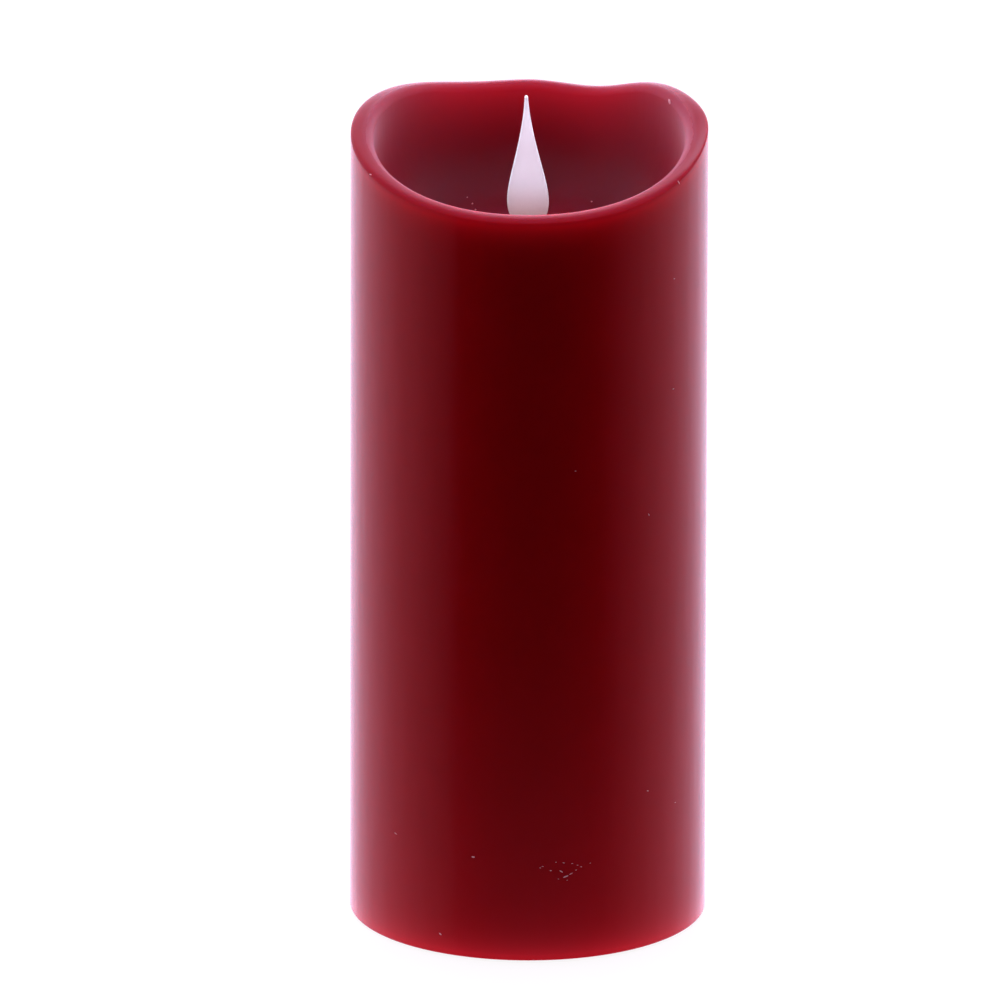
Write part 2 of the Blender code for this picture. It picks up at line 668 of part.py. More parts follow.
def make_microcontroller():
    """An eight-legged chip on the board's front face, its legs in two rows."""
    face = -BOARD_THICKNESS / 2 - GAP
    half_width, half_height = 2.0, 2.5
    leg_end, leg_half, leg_spacing = 3.1, 0.2, 1.27
    package = box((-half_width, face - 1.6, CHIP_Z - half_height),
                  (half_width, face - 0.2, CHIP_Z + half_height))
    chip = make_object("microcontroller", package, CHIP_BLACK)
    for leg in range(4):
        z = CHIP_Z + (leg - 1.5) * leg_spacing
        join(chip, box((-leg_end, face - 0.5, z - leg_half), (leg_end, face, z + leg_half)))


def stand_on_board(name, bm, place, finish):
    """Turn a shape built upright so that it stands off the board's front face at (x, z)."""
    x, z = place
    foot = Vector((x, -BOARD_THICKNESS / 2 - GAP, z))
    make_object(name, aim(bm, foot, foot + FRONT), finish)


def make_capacitor():
    """A small can with a groove near its foot, standing off the board's front face."""
    radius, groove, length = 2.5, 2.3, 7.0
    profile = [(0, 0), (groove, 0), (radius, 0.3), (radius, 0.9), (groove, 1.1), (radius, 1.3),
               (radius, length - 0.2), (groove, length), (0, length)]
    stand_on_board("capacitor", revolve(profile, segments=16), CAPACITOR_PLACE, SLEEVE_BLUE)


def make_driver_transistor():
    """A small half-round transistor standing off the board's front face."""
    radius, height = 2.2, 4.6
    turns = [math.radians(step * 22.5 - 22.5) for step in range(11)]
    outline = [(radius * math.cos(a), radius * math.sin(a)) for a in turns]
    stand_on_board("driver_transistor", prism(outline, 0.0, height), TRANSISTOR_PLACE, CHIP_BLACK)


# ---- mechanism box, coil, lamp ---------------------------------------------------------------------

def make_mechanism_shell(name, side):
    """Half of the mechanism box; side is -1 for the front half and 1 for the rear half."""
    def half_box(half_x, inner, outer, bottom, top):
        low_y, high_y = sorted((side * inner, side * outer))
        return box((-half_x, low_y, bottom), (half_x, high_y, top))

    seam = GAP / 2
    shell = make_object(name, half_box(BOX_HALF_X, seam, BOX_HALF_Y, BOX_BOTTOM, BOX_TOP), NATURAL_PLASTIC)
    half_disc = [(SPIGOT_RADIUS * math.cos(a), side * SPIGOT_RADIUS * math.sin(a))
                 for a in (math.pi * step / 20 for step in range(21)) if math.sin(a) * SPIGOT_RADIUS > seam]
    spigot = [(SPIGOT_RADIUS, side * seam), *half_disc, (-SPIGOT_RADIUS, side * seam)]
    join(shell, prism(spigot, SPIGOT_BOTTOM, BOX_BOTTOM + 1))
    screw_x, screw_z = BOX_SCREW_PLACE
    low_y, high_y = sorted((side * seam, side * (seam + BOX_EAR_SIZE)))
    for x in (-1, 1):
        low_x, high_x = sorted((x * (BOX_HALF_X - 1), x * BOX_EAR_END))
        join(shell, box((low_x, low_y, screw_z - BOX_EAR_SIZE), (high_x, high_y, screw_z + BOX_EAR_SIZE)))
    cut(shell, cylinder(SPIGOT_BORE, SPIGOT_BOTTOM - 1, BOX_BOTTOM, segments=32))
    cut(shell, half_box(BOX_HALF_X - BOX_WALL, -1.0, BOX_HALF_Y - BOX_WALL, BOX_FLOOR, BOX_TOP + 1))
    wire_end = WIRE_HALF_LENGTH + GAP
    cut(shell, half_box(WIRE_NOTCH_HALF, 0.0, wire_end, PIVOT_Z - WIRE_NOTCH_HALF, BOX_TOP + 1))
    hole_x, hole_y = CABLE_HOLE
    for x in (-hole_x, hole_x):
        if side * hole_y > 0:
            cut(shell, cylinder(CABLE_HOLE_RADIUS, BOX_BOTTOM - 1, BOX_FLOOR + 1, (x, hole_y), 14))
    for x in (-screw_x, screw_x):
        hole = cylinder(BOX_SCREW_HOLE, -6.0, 6.0, (x, screw_z), 16)
        bmesh.ops.rotate(hole, cent=(0, 0, 0), matrix=FACING_FRONT, verts=hole.verts)
        cut(shell, hole)


def make_mechanism_cap():
    """A plate over the box with a round boss that fills the hole in the wax floor."""
    plate = box((-BOX_HALF_X, -BOX_HALF_Y, CAP_BOTTOM), (BOX_HALF_X, BOX_HALF_Y, CAP_PLATE_TOP))
    cap = make_object("mechanism_cap", plate, BLACK_PLASTIC)
    crown = 1.2
    boss = [(0, CAP_BOTTOM + 1), (CAP_BOSS_RADIUS, CAP_BOTTOM + 1), (CAP_BOSS_RADIUS, CAP_BOSS_TOP - crown),
            (CAP_BOSS_RADIUS - crown, CAP_BOSS_TOP), (0, CAP_BOSS_TOP)]
    join(cap, revolve(boss, segments=32))
    slot_x, slot_y = CAP_SLOT_HALF
    cut(cap, box((-slot_x, -slot_y, CAP_BOTTOM - 1), (slot_x, slot_y, CAP_BOSS_TOP + 1)))
    lamp_channel = cylinder(LAMP_WINDOW_RADIUS, 5.0, 25.0, segments=24)
    cut(cap, aim(lamp_channel, LAMP_FOOT, LAMP_TARGET))


def make_coil_bobbin():
    """A spool with a bore through its core."""
    bore, core, rim = COIL_BORE_RADIUS, COIL_CORE_RADIUS, COIL_FLANGE_RADIUS
    flange_top = COIL_BOTTOM + COIL_FLANGE
    flange_bottom = COIL_TOP - COIL_FLANGE
    profile = [(bore, COIL_BOTTOM), (rim, COIL_BOTTOM), (rim, flange_top), (core, flange_top),
               (core, flange_bottom), (rim, flange_bottom), (rim, COIL_TOP), (bore, COIL_TOP)]
    make_object("coil_bobbin", revolve(profile, segments=20), BLACK_PLASTIC)


def make_coil_winding():
    bottom = COIL_BOTTOM + COIL_FLANGE + GAP
    top = COIL_TOP - COIL_FLANGE - GAP
    inner = COIL_CORE_RADIUS + GAP
    profile = [(inner, bottom), (WINDING_RADIUS, bottom), (WINDING_RADIUS, top), (inner, top)]
    make_object("coil_winding", revolve(profile, segments=20), COPPER)


def make_led():
    """A 5 mm lamp with a flange and a round nose."""
    flange = 1.0
    nose = arc((0.0, LAMP_LENGTH - LAMP_RADIUS), (LAMP_RADIUS, LAMP_RADIUS), 0, 90, 4)[:-1]
    profile = [(0, 0), (LAMP_FLANGE_RADIUS, 0), (LAMP_FLANGE_RADIUS, flange), (LAMP_RADIUS, flange), *nose,
               (0, LAMP_LENGTH)]
    make_object("led", aim(revolve(profile, segments=18), LAMP_FOOT, LAMP_TARGET), LAMP_CLEAR)


def make_led_holder():
    """A ring around the lamp's barrel."""
    inner, outer = LAMP_RADIUS + GAP, LAMP_RADIUS + 1.3
    bottom, top = 1.4, 4.4
    ring = [(inner, bottom), (outer, bottom), (outer, top), (inner, top)]
    make_object("led_holder", aim(revolve(ring, segments=18), LAMP_FOOT, LAMP_TARGET), WHITE_PLASTIC)


# ---- flame -----------------------------------------------------------------------------------------

def flame_half_width(height):
    """Half the flame's width: a teardrop above, then its neck, the eye round the wire, and the tail."""
    tip_half, bulge = 0.45, 10.1
    half = FLAME_NECK_HALF
    below_tip = (FLAME_TIP - height) / FLAME_LENGTH
    if below_tip < 1:
        teardrop = tip_half + bulge * below_tip ** 1.53 * (1 - below_tip ** 5.74) ** 0.912
        half = teardrop if below_tip < FLAME_TEARDROP else max(half, teardrop)
    from_eye = abs(height - PIVOT_Z)
    if from_eye < FLAME_EYE_RADIUS:
        half = max(half, math.sqrt(FLAME_EYE_RADIUS ** 2 - from_eye ** 2))
    return half


def make_flame():
    """Flat flame, extruded front to back, hung by the eye in its neck; its blade leans a little."""
    steps = 30
    heights = [FLAME_TIP - FLAME_LENGTH * (step / steps) for step in range(steps + 1)]
    heights += [PIVOT_Z + FLAME_EYE_RADIUS * math.sin(math.radians(a)) for a in range(75, -76, -15)]
    heights.append(TAIL_BOTTOM)
    lean = math.tan(math.radians(FLAME_LEAN))
    middles = [-lean * max(0.0, z - PIVOT_Z) for z in heights]
    right = [(middle + flame_half_width(z), z) for middle, z in zip(middles, heights)]
    left = [(middle - flame_half_width(z), z) for middle, z in zip(middles, heights)]
    outline = right + left[::-1]
    bm = prism(outline, -FLAME_THICKNESS / 2, FLAME_THICKNESS / 2)
    bmesh.ops.rotate(bm, cent=(0, 0, 0), matrix=FACING_FRONT, verts=bm.verts)
    flame = make_object("flame", bm, FROSTED_WHITE, PIVOT)
    eye = cylinder(FLAME_EYE_HOLE, -3.0, 3.0, (0.0, PIVOT_Z), 20)
    bmesh.ops.rotate(eye, cent=(0, 0, 0), matrix=FACING_FRONT, verts=eye.verts)
    cut(flame, eye)


def make_flame_magnet():
    top = TAIL_BOTTOM - GAP
    disc = cylinder(MAGNET_RADIUS, top - MAGNET_HEIGHT, top, segments=24)
    make_object("flame_magnet", disc, NICKEL, PIVOT)


def make_pivot_wire():
    path = [Vector((0.0, y, PIVOT_Z)) for y in (-WIRE_HALF_LENGTH, WIRE_HALF_LENGTH)]
    make_object("pivot_wire", sweep(path, WIRE_RADIUS, 12), STEEL, PIVOT)


# ---- wires -----------------------------------------------------------------------------------------

def make_wires():
    """Each wire ends just short of the piece it is soldered to."""
    wires = {
        "positive_wire": (WIRE_RED, 0.75, (
            (-25.4, 0.0, 75.0), (-28.0, 9.0, 78.5), (-24.0, 24.0, 74.0), (-11.0, 31.0, 50.0),
            (-4.0, 31.5, 25.0), (-3.5, 31.2, 11.2))),
        "switch_wire": (WIRE_YELLOW, 0.75, (
            (3.5, 31.2, 11.2), (5.0, 30.5, 40.0), (2.0, 28.0, 70.0), (-2.5, 19.0, 86.0),
            (-3.5, 10.0, 93.0), (-3.0, 2.2, 97.0))),
        "negative_wire": (WIRE_BLACK, 0.75, (
            (25.4, 0.0, 75.0), (28.0, 9.0, 79.0), (21.0, 18.0, 92.0), (10.0, 17.0, 102.0),
            (4.0, 9.0, 106.0), (3.0, 2.2, 108.0))),
        "led_cable": (WIRE_WHITE, 0.6, (
            (7.5, -7.5, 179.2), (8.4, -7.6, 174.0), (8.6, -6.9, 166.0), (7.8, -5.6, 157.0),
            (6.2, -4.8, 149.5), (6.0, -4.4, 141.0), (4.2, -2.6, 135.0), (4.0, -1.9, 129.0))),
        "coil_cable": (WIRE_RED, 0.5, (
            (-7.2, -1.5, 155.5), (-7.6, -4.2, 153.0), (-6.2, -4.8, 149.5), (-6.0, -4.4, 141.0),
            (-4.2, -2.6, 135.0), (-4.0, -1.8, 129.0))),
    }
    for name, (finish, radius, points) in wires.items():
        make_object(name, sweep(smooth_path(points, 3), radius, 6), finish)


# ---- the whole candle ------------------------------------------------------------------------------

def make_screws():
    for index, (x, y) in enumerate(BASE_SCREW_PLACES, start=1):
        screw(f"base_screw_{index}", (x, y, DOOR_BOTTOM), (x, y, EAR_TOP), *BASE_SCREW)
    head_top = COLUMN_BOTTOM + COLUMN_FOOT + GAP + COLUMN_SCREW[1]
    for name, y in (("column_screw_front", -COLUMN_SCREW_Y), ("column_screw_rear", COLUMN_SCREW_Y)):
        screw(name, (0.0, y, head_top), (0.0, y, 0.0), *COLUMN_SCREW)
    screw_x, screw_z = BOX_SCREW_PLACE
    for name, x in (("mechanism_screw_left", -screw_x), ("mechanism_screw_right", screw_x)):
        screw(name, (x, BOX_SCREW_HEAD_Y, screw_z), (x, 0.0, screw_z), *BOX_SCREW)


def main():
    clear_scene()
    make_wax_shell()
    make_base_plate()
    make_battery_door()
    make_bridge_contact()
    make_bridge_spring()
    for name, place in FOOT_PLACES.items():
        make_foot(name, place)
    make_switch_body()
    make_switch_knob()
    make_battery_case()
    make_cell("d_cell_left", -BAY_SPACING, True)
    make_cell("d_cell_right", BAY_SPACING, False)
    make_top_contact("positive_contact", -1)
    make_top_contact("negative_contact", 1)
    make_negative_spring()
    make_support_column()
    make_circuit_board()
    make_microcontroller()
    make_capacitor()
    make_driver_transistor()
    make_mechanism_shell("mechanism_front_shell", -1)
    make_mechanism_shell("mechanism_rear_shell", 1)
    make_mechanism_cap()
    make_coil_bobbin()
    make_coil_winding()
    make_led()
    make_led_holder()
    make_flame()
    make_flame_magnet()
    make_pivot_wire()
    make_wires()
    make_screws()


main()
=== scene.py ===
"""Looks of the flameless pillar candle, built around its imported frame.

Sizes here are in millimetres and turned into metres when a mesh is made. Directions round the pillar are in
degrees from the front (-Y), positive towards +X.
"""

import json
import math

import bmesh
import bpy
from mathutils import Matrix, Vector


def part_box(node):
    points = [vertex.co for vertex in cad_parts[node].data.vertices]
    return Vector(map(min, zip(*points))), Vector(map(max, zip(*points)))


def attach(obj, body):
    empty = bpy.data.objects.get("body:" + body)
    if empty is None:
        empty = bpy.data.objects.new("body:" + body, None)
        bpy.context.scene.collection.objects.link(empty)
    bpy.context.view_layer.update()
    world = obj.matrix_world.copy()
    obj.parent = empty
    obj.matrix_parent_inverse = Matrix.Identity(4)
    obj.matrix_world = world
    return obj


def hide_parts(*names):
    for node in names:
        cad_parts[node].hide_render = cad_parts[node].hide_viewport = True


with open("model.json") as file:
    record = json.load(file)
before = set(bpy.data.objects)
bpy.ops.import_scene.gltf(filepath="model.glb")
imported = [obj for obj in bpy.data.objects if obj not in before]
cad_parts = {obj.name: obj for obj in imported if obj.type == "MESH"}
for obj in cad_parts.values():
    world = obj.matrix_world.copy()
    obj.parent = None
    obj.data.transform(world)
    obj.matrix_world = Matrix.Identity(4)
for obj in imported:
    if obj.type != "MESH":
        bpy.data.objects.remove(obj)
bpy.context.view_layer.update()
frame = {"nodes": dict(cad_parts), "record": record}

MM = 0.001


def cad(node):
    """Lowest and highest corner of a CAD node, in millimetres."""
    low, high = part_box(node)
    return low / MM, high / MM


# ---- sizes read from the frame -----------------------------------------------------------------------

wax_low, wax_high = cad("wax_shell")
flame_low, flame_high = cad("flame")
wire_low, wire_high = cad("pivot_wire")

PILLAR_RADIUS = wax_high.x
WAX_BOTTOM = wax_low.z
FLAME_TIP = flame_high.z
TAIL_BOTTOM = flame_low.z
FLAME_THICKNESS = flame_high.y - flame_low.y
PIVOT_Z = (wire_low.z + wire_high.z) / 2

# ---- mesh helpers, all in millimetres ----------------------------------------------------------------

def make_piece(name, bm, body, material, node, sharp=50):
    """Turn a bmesh into a smooth piece in metres that rides on a body and stands for a CAD node, if any."""
    bmesh.ops.scale(bm, vec=(MM, MM, MM), verts=bm.verts)
    bmesh.ops.recalc_face_normals(bm, faces=bm.faces)
    mesh = bpy.data.meshes.new(name)
    bm.to_mesh(mesh)
    bm.free()
    mesh.shade_smooth()
    mesh.set_sharp_from_angle(angle=math.radians(sharp))
    mesh.materials.append(material)
    piece = bpy.data.objects.new(name, mesh)
    bpy.context.scene.collection.objects.link(piece)
    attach(piece, body)
    if node:
        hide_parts(node)
    return piece


def arc(centre, size, start, end, steps):
    """Points of a rounded edge of some (width, height) in the (radius, height) plane, angles in degrees."""
    angles = [math.radians(start + (end - start) * step / steps) for step in range(steps + 1)]
    return [(centre[0] + size[0] * math.cos(a), centre[1] + size[1] * math.sin(a)) for a in angles]


def box(low, high):
    bm = bmesh.new()
    bmesh.ops.create_cube(bm, size=1.0)
    low, high = Vector(low), Vector(high)
    bmesh.ops.scale(bm, vec=high - low, verts=bm.verts)
    bmesh.ops.translate(bm, vec=(low + high) / 2, verts=bm.verts)
    return bm


def lathe(profile, centre=(0.0, 0.0), segments=64):
    """Turn a closed profile of (radius, height) points about the vertical; radius 0 is on the axis."""
    bm = bmesh.new()
    middle_x, middle_y = centre
    rings = []
    for radius, height in profile:
        turns = [2 * math.pi * step / segments for step in range(segments if radius else 1)]
        points = [(middle_x + radius * math.cos(a), middle_y + radius * math.sin(a), height) for a in turns]
        rings.append([bm.verts.new(point) for point in points])
    for ring, following in zip(rings, rings[1:] + rings[:1]):
        if len(ring) == 1 and len(following) == 1:
            continue
        for step in range(segments):
            after = (step + 1) % segments
            corners = (ring[step % len(ring)], ring[after % len(ring)],
                       following[after % len(following)], following[step % len(following)])
            bm.faces.new(list(dict.fromkeys(corners)))
    bmesh.ops.recalc_face_normals(bm, faces=bm.faces)
    return bm


def cylinder(radius, bottom, top, centre=(0.0, 0.0), segments=48):
    return lathe([(0, bottom), (radius, bottom), (radius, top), (0, top)], centre, segments)


def aim(bm, foot, direction):
    """Move a shape built upright on the origin so that it stands at foot and points in a direction."""
    turn = Vector(direction).to_track_quat("Z", "Y")
    bmesh.ops.rotate(bm, cent=(0, 0, 0), matrix=turn.to_matrix(), verts=bm.verts)
    bmesh.ops.translate(bm, vec=foot, verts=bm.verts)
    return bm


def combine(bm, cuts=(), joins=()):
    """The shape with others cut out of it and joined to it."""
    def guide(shape):
        mesh = bpy.data.meshes.new("guide")
        bmesh.ops.recalc_face_normals(shape, faces=shape.faces)
        shape.to_mesh(mesh)
        shape.free()
        obj = bpy.data.objects.new("guide", mesh)
        bpy.context.scene.collection.objects.link(obj)
        return obj

    whole = guide(bm)
    others = [whole]
    for operation, shapes in (("UNION", joins), ("DIFFERENCE", cuts)):
        for shape in shapes:
            modifier = whole.modifiers.new(operation, "BOOLEAN")
            modifier.operation = operation
            modifier.solver = "EXACT"
            modifier.object = guide(shape)
            others.append(modifier.object)
    bpy.context.view_layer.update()
    result = bmesh.new()
    result.from_object(whole, bpy.context.evaluated_depsgraph_get())
    for other in others:
        bpy.data.objects.remove(other, do_unlink=True)
    return result


def soften(piece, width, segments=2):
    """Round a piece's sharp edges a little."""
    weld = piece.modifiers.new("weld", "WELD")
    weld.merge_threshold = 0.000002
    bevel = piece.modifiers.new("soft_edges", "BEVEL")
    bevel.width = width * MM
    bevel.segments = segments
    bevel.limit_method = "ANGLE"
    bevel.angle_limit = math.radians(35)
    bevel.harden_normals = False
    piece.modifiers.new("normals", "WEIGHTED_NORMAL").keep_sharp = True


# ---- wax pillar --------------------------------------------------------------------------------------

BORE_RADIUS = 43.5
WAX_FLOOR_TOP = 197.5
WAX_FLOOR_UNDERSIDE = 190.0
WAX_HOLE_RADIUS = 10.9
RIM_WIDTH = 4.0               # from the pillar's side to the rim's inner lip
RIM_TOP = 237.1
RIM_DIPS = (                  # depth, direction, half-width, power
    (18.9, -1.3, 99.7, 2.3),
    (7.2, -167.6, 32.2, 2.0),
    (5.6, 156.3, 20.5, 2.0),
)
RIM_SHOULDERS = (             # extra height of the rim's outer edge, direction, half-width
    (2.0, 84.0, 24.0),
    (0.5, -96.0, 26.0),
)
EDGE_HEIGHT = (1.5, 1.4, 2.2)       # in front, at the sides, at the back
EDGE_SQUARENESS = (2.0, 2.8, 2.0)
LIP_ROUND = (0.9, 2.5, 2.5)


def bell(direction, middle, half_width, power=2.0):
    """1 in one direction, falling to 0 away from it."""
    away = abs((direction - middle + 180) % 360 - 180)
    return math.exp(-(away / half_width) ** power)


def rim_height(direction):
    """Height of the rim's inner crest in a direction round the pillar."""
    return RIM_TOP - sum(depth * bell(direction, *place) for depth, *place in RIM_DIPS)


def shoulder_height(direction):
    return sum(height * bell(direction, *place) for height, *place in RIM_SHOULDERS)


def by_direction(direction, values):
    """Blend of the values for the front, the sides and the back."""
    front, sides, back = values
    half_width, power = 60.0, 4.0
    return (sides + (front - sides) * bell(direction, 0.0, half_width, power)
            + (back - sides) * bell(direction, 180.0, half_width, power))


def outer_edge(direction):
    """Points over the rim from the side to the crest: a squared-off ellipse with raised shoulders."""
    crest, shoulder = rim_height(direction), shoulder_height(direction)
    height, squareness = by_direction(direction, EDGE_HEIGHT), by_direction(direction, EDGE_SQUARENESS)
    steps = 18
    points = []
    for step in range(steps + 1):
        a = math.pi / 2 * step / steps
        out = math.cos(a) ** (2 / squareness)
        up = math.sin(a) ** (2 / squareness)
        radius = PILLAR_RADIUS - RIM_WIDTH * (1 - out)
        points.append((radius, crest + shoulder * out ** 2 - height * (1 - up)))
    return points


def wax_section(direction):
    """The pillar's closed section of (radius, height) points in a direction."""
    foot_round = 0.6
    hole_round = 0.6
    wall_steps = 24
    bore_steps = 8
    crest = rim_height(direction)
    edge = outer_edge(direction)
    lip = by_direction(direction, LIP_ROUND)
    lip_centre = PILLAR_RADIUS - RIM_WIDTH
    lip_radius = lip_centre - lip
    wall_bottom, wall_top = WAX_BOTTOM + foot_round, edge[0][1]
    section = arc((PILLAR_RADIUS - foot_round, wall_bottom), (foot_round, foot_round), -90, 0, 6)
    for step in range(1, wall_steps):
        section.append((PILLAR_RADIUS, wall_bottom + (wall_top - wall_bottom) * step / wall_steps))
    section += edge
    section += arc((lip_centre, crest - lip), (lip, lip), 97, 180, 8)
    bowl_steps = 24
    floor_radius = 15.0
    bowl_power = 0.8
    bowl_top = crest - lip
    for step in range(1, bowl_steps + 1):
        a = math.pi / 2 * step / bowl_steps
        section.append((floor_radius + (lip_radius - floor_radius) * math.cos(a) ** bowl_power,
                        bowl_top - (bowl_top - WAX_FLOOR_TOP) * math.sin(a) ** bowl_power))
    hole_edge = (WAX_HOLE_RADIUS + hole_round, WAX_FLOOR_TOP - hole_round)
    section += arc(hole_edge, (hole_round, hole_round), 90, 180, 3)
    section.append((WAX_HOLE_RADIUS, WAX_FLOOR_UNDERSIDE))
    shoulder = 6.0
    bore_top = WAX_FLOOR_UNDERSIDE - shoulder
    section += arc((BORE_RADIUS - shoulder, bore_top), (shoulder, shoulder), 90, 0, 6)
    for step in range(1, bore_steps):
        section.append((BORE_RADIUS, bore_top + (WAX_BOTTOM - bore_top) * step / bore_steps))
    section.append((BORE_RADIUS, WAX_BOTTOM))
    return section


BOWL_LOOK_START = 0.25        # share of the rim's width outside its crest where the bowl's look begins


def make_wax(material):
    """The pillar, with each point's depth below the rim and how far it is into the bowl for the material."""
    segments = 240
    bm = bmesh.new()
    sections = []
    for step in range(segments):
        direction = 360 * step / segments
        a = math.radians(direction)
        sections.append([bm.verts.new((radius * math.sin(a), -radius * math.cos(a), height))
                         for radius, height in wax_section(direction)])
    for section, following in zip(sections, sections[1:] + sections[:1]):
        for index in range(len(section)):
            after = (index + 1) % len(section)
            bm.faces.new((section[index], following[index], following[after], section[after]))
    piece = make_piece("wax_pillar", bm, "housing", material, "wax_shell")
    below_rim = piece.data.attributes.new("below_rim", "FLOAT", "POINT")
    in_bowl = piece.data.attributes.new("in_bowl", "FLOAT", "POINT")
    for vertex, depth, inside in zip(piece.data.vertices, below_rim.data, in_bowl.data):
        x, y, height = vertex.co / MM
        direction = math.degrees(math.atan2(x, -y))
        outward = (math.hypot(x, y) - PILLAR_RADIUS + RIM_WIDTH) / RIM_WIDTH
        top = rim_height(direction) + shoulder_height(direction) * max(0.0, outward) ** 2
        depth.value = max(0.0, top - height) * MM
        lip = by_direction(direction, LIP_ROUND) / RIM_WIDTH
        inward = (BOWL_LOOK_START - outward) / (BOWL_LOOK_START + lip)
        inside.value = min(1.0, max(0.0, inward)) if height > WAX_FLOOR_UNDERSIDE else 0.0


FLECKS = (                    # direction, height, length, half-thickness, tilt from level in degrees
    (-17.8, 30.3, 0.5, 0.25, 0), (-29.3, 6.1, 0.5, 0.22, 30), (-47.8, 32.4, 1.1, 0.10, 12),
    (10.8, 26.6, 0.9, 0.16, 35), (12.3, 25.0, 1.3, 0.20, -18), (14.0, 25.7, 1.0, 0.10, -22),
    (7.4, 27.0, 0.4, 0.13, 0), (4.8, 28.3, 0.4, 0.10, 0), (4.0, 27.9, 0.3, 0.09, 0),
    (9.1, 29.4, 0.3, 0.09, 0), (11.6, 29.1, 0.5, 0.10, 10), (14.4, 28.7, 0.4, 0.10, 0),
    (16.2, 28.1, 0.4, 0.09, 0), (17.4, 27.5, 0.4, 0.10, 0), (15.7, 26.7, 0.4, 0.10, 0),
    (20.5, 28.3, 0.3, 0.08, 0), (9.9, 24.4, 0.3, 0.09, 0), (12.8, 23.9, 0.3, 0.08, 0),
    (54.0, 194.5, 0.4, 0.12, 0), (42.2, 46.4, 0.5, 0.14, 20), (55.8, 39.9, 0.5, 0.10, 0),
    (53.7, 162.3, 0.5, 0.14, 0), (42.2, 127.8, 0.6, 0.12, 60), (15.1, 144.2, 0.4, 0.10, 0),
    (-62.4, 222.8, 1.0, 0.16, -8), (56.3, 222.1, 1.3, 0.16, 52), (-151.0, 62.5, 0.7, 0.15, 40),
    (-122.0, 150.5, 0.6, 0.14, -30), (163.0, 121.5, 0.8, 0.12, 15), (134.0, 38.5, 0.5, 0.16, 70),
    (-95.0, 88.5, 0.5, 0.13, 0), (101.0, 176.5, 0.6, 0.12, 25),
)
BOWL_LINT = (                 # direction, distance from the middle, length, half-thickness
    (116.0, 43.65, 1.9, 0.16), (-146.0, 28.5, 0.6, 0.16), (-146.0, 31.1, 0.4, 0.12),
    (144.0, 29.8, 0.5, 0.14), (-144.0, 25.6, 0.9, 0.09), (-122.0, 33.7, 0.5, 0.09),
    (114.0, 37.9, 0.7, 0.08),
)


def bowl_height(direction, radius):
    """Height of the bowl's surface at a distance from the middle."""
    section = wax_section(direction)
    for (outer, high), (inner, low) in zip(section, section[1:]):
        if inner <= radius <= outer:
            return low + (high - low) * (radius - inner) / (outer - inner)
    return section[-1][1]


def add_speck(bm, direction, radius, height, size, tilt):
    """A flattened speck (half-length, half-depth, half-height) facing outward in a direction."""
    speck = bmesh.ops.create_icosphere(bm, subdivisions=2, radius=1.0)["verts"]
    bmesh.ops.scale(bm, vec=size, verts=speck)
    turn = Matrix.Rotation(math.radians(direction), 3, "Z") @ Matrix.Rotation(math.radians(tilt), 3, "Y")
    bmesh.ops.rotate(bm, cent=(0, 0, 0), matrix=turn, verts=speck)
    a = math.radians(direction)
    bmesh.ops.translate(bm, vec=(radius * math.sin(a), -radius * math.cos(a), height), verts=speck)


def make_flecks(material):
    """Bits of lint and pale crumbs of wax stuck to the pillar's side and in its bowl."""
    bm = bmesh.new()
    for direction, height, length, half, tilt in FLECKS:
        add_speck(bm, direction, PILLAR_RADIUS - 0.02, height, (length / 2 + half, 0.06, half), tilt)
    for direction, radius, length, half in BOWL_LINT:
        height = bowl_height(direction, radius) + half / 2
        add_speck(bm, direction, radius, height, (length / 4 + half, half, length / 2), 35)
    make_piece("wax_flecks", bm, "housing", material, None)


# ---- flame -------------------------------------------------------------------------------------------

FLAME_LENGTH = 40.0
FLAME_TEARDROP = 0.8          # share of that length which is teardrop only, before the neck joins in
FLAME_NECK_HALF = 2.25
FLAME_EYE_RADIUS = 3.3
FLAME_EYE_HOLE = 0.85
FLAME_EDGE = 0.75             # radius of the flame's rounded edges
FLAME_LEAN = 1.0              # degrees to the left above the wire


def flame_half_width(height):
    """Half the flame's width: a teardrop above, then its neck, the eye round the wire, and the tail."""
    tip_half, bulge = 0.45, 10.1
    half = FLAME_NECK_HALF
    below_tip = (FLAME_TIP - height) / FLAME_LENGTH
    if below_tip < 1:
        teardrop = tip_half + bulge * below_tip ** 1.53 * (1 - below_tip ** 5.74) ** 0.912
        half = teardrop if below_tip < FLAME_TEARDROP else max(half, teardrop)
    from_eye = abs(height - PIVOT_Z)
    if from_eye < FLAME_EYE_RADIUS:
        half = max(half, math.sqrt(FLAME_EYE_RADIUS ** 2 - from_eye ** 2))
    return half


def flame_ring(height):
    """Outline of the flame at one height: a flat bar with rounded edges."""
    half, thick = flame_half_width(height), FLAME_THICKNESS / 2
    tip_round = min(1.0, math.sqrt(max(0.0, FLAME_TIP - height) / 0.45))
    half, thick = max(0.06, half * tip_round), max(0.06, thick * tip_round)
    edge = min(FLAME_EDGE, 0.98 * half, 0.98 * thick)
    middle = -math.tan(math.radians(FLAME_LEAN)) * max(0.0, height - PIVOT_Z)
    ring = []
    for quarter, (side_x, side_y) in enumerate(((1, 1), (-1, 1), (-1, -1), (1, -1))):
        for step in range(8):
            a = math.radians(90 * quarter + 90 * step / 7)
            ring.append((middle + side_x * (half - edge) + edge * math.cos(a),
                         side_y * (thick - edge) + edge * math.sin(a), height))
    return ring


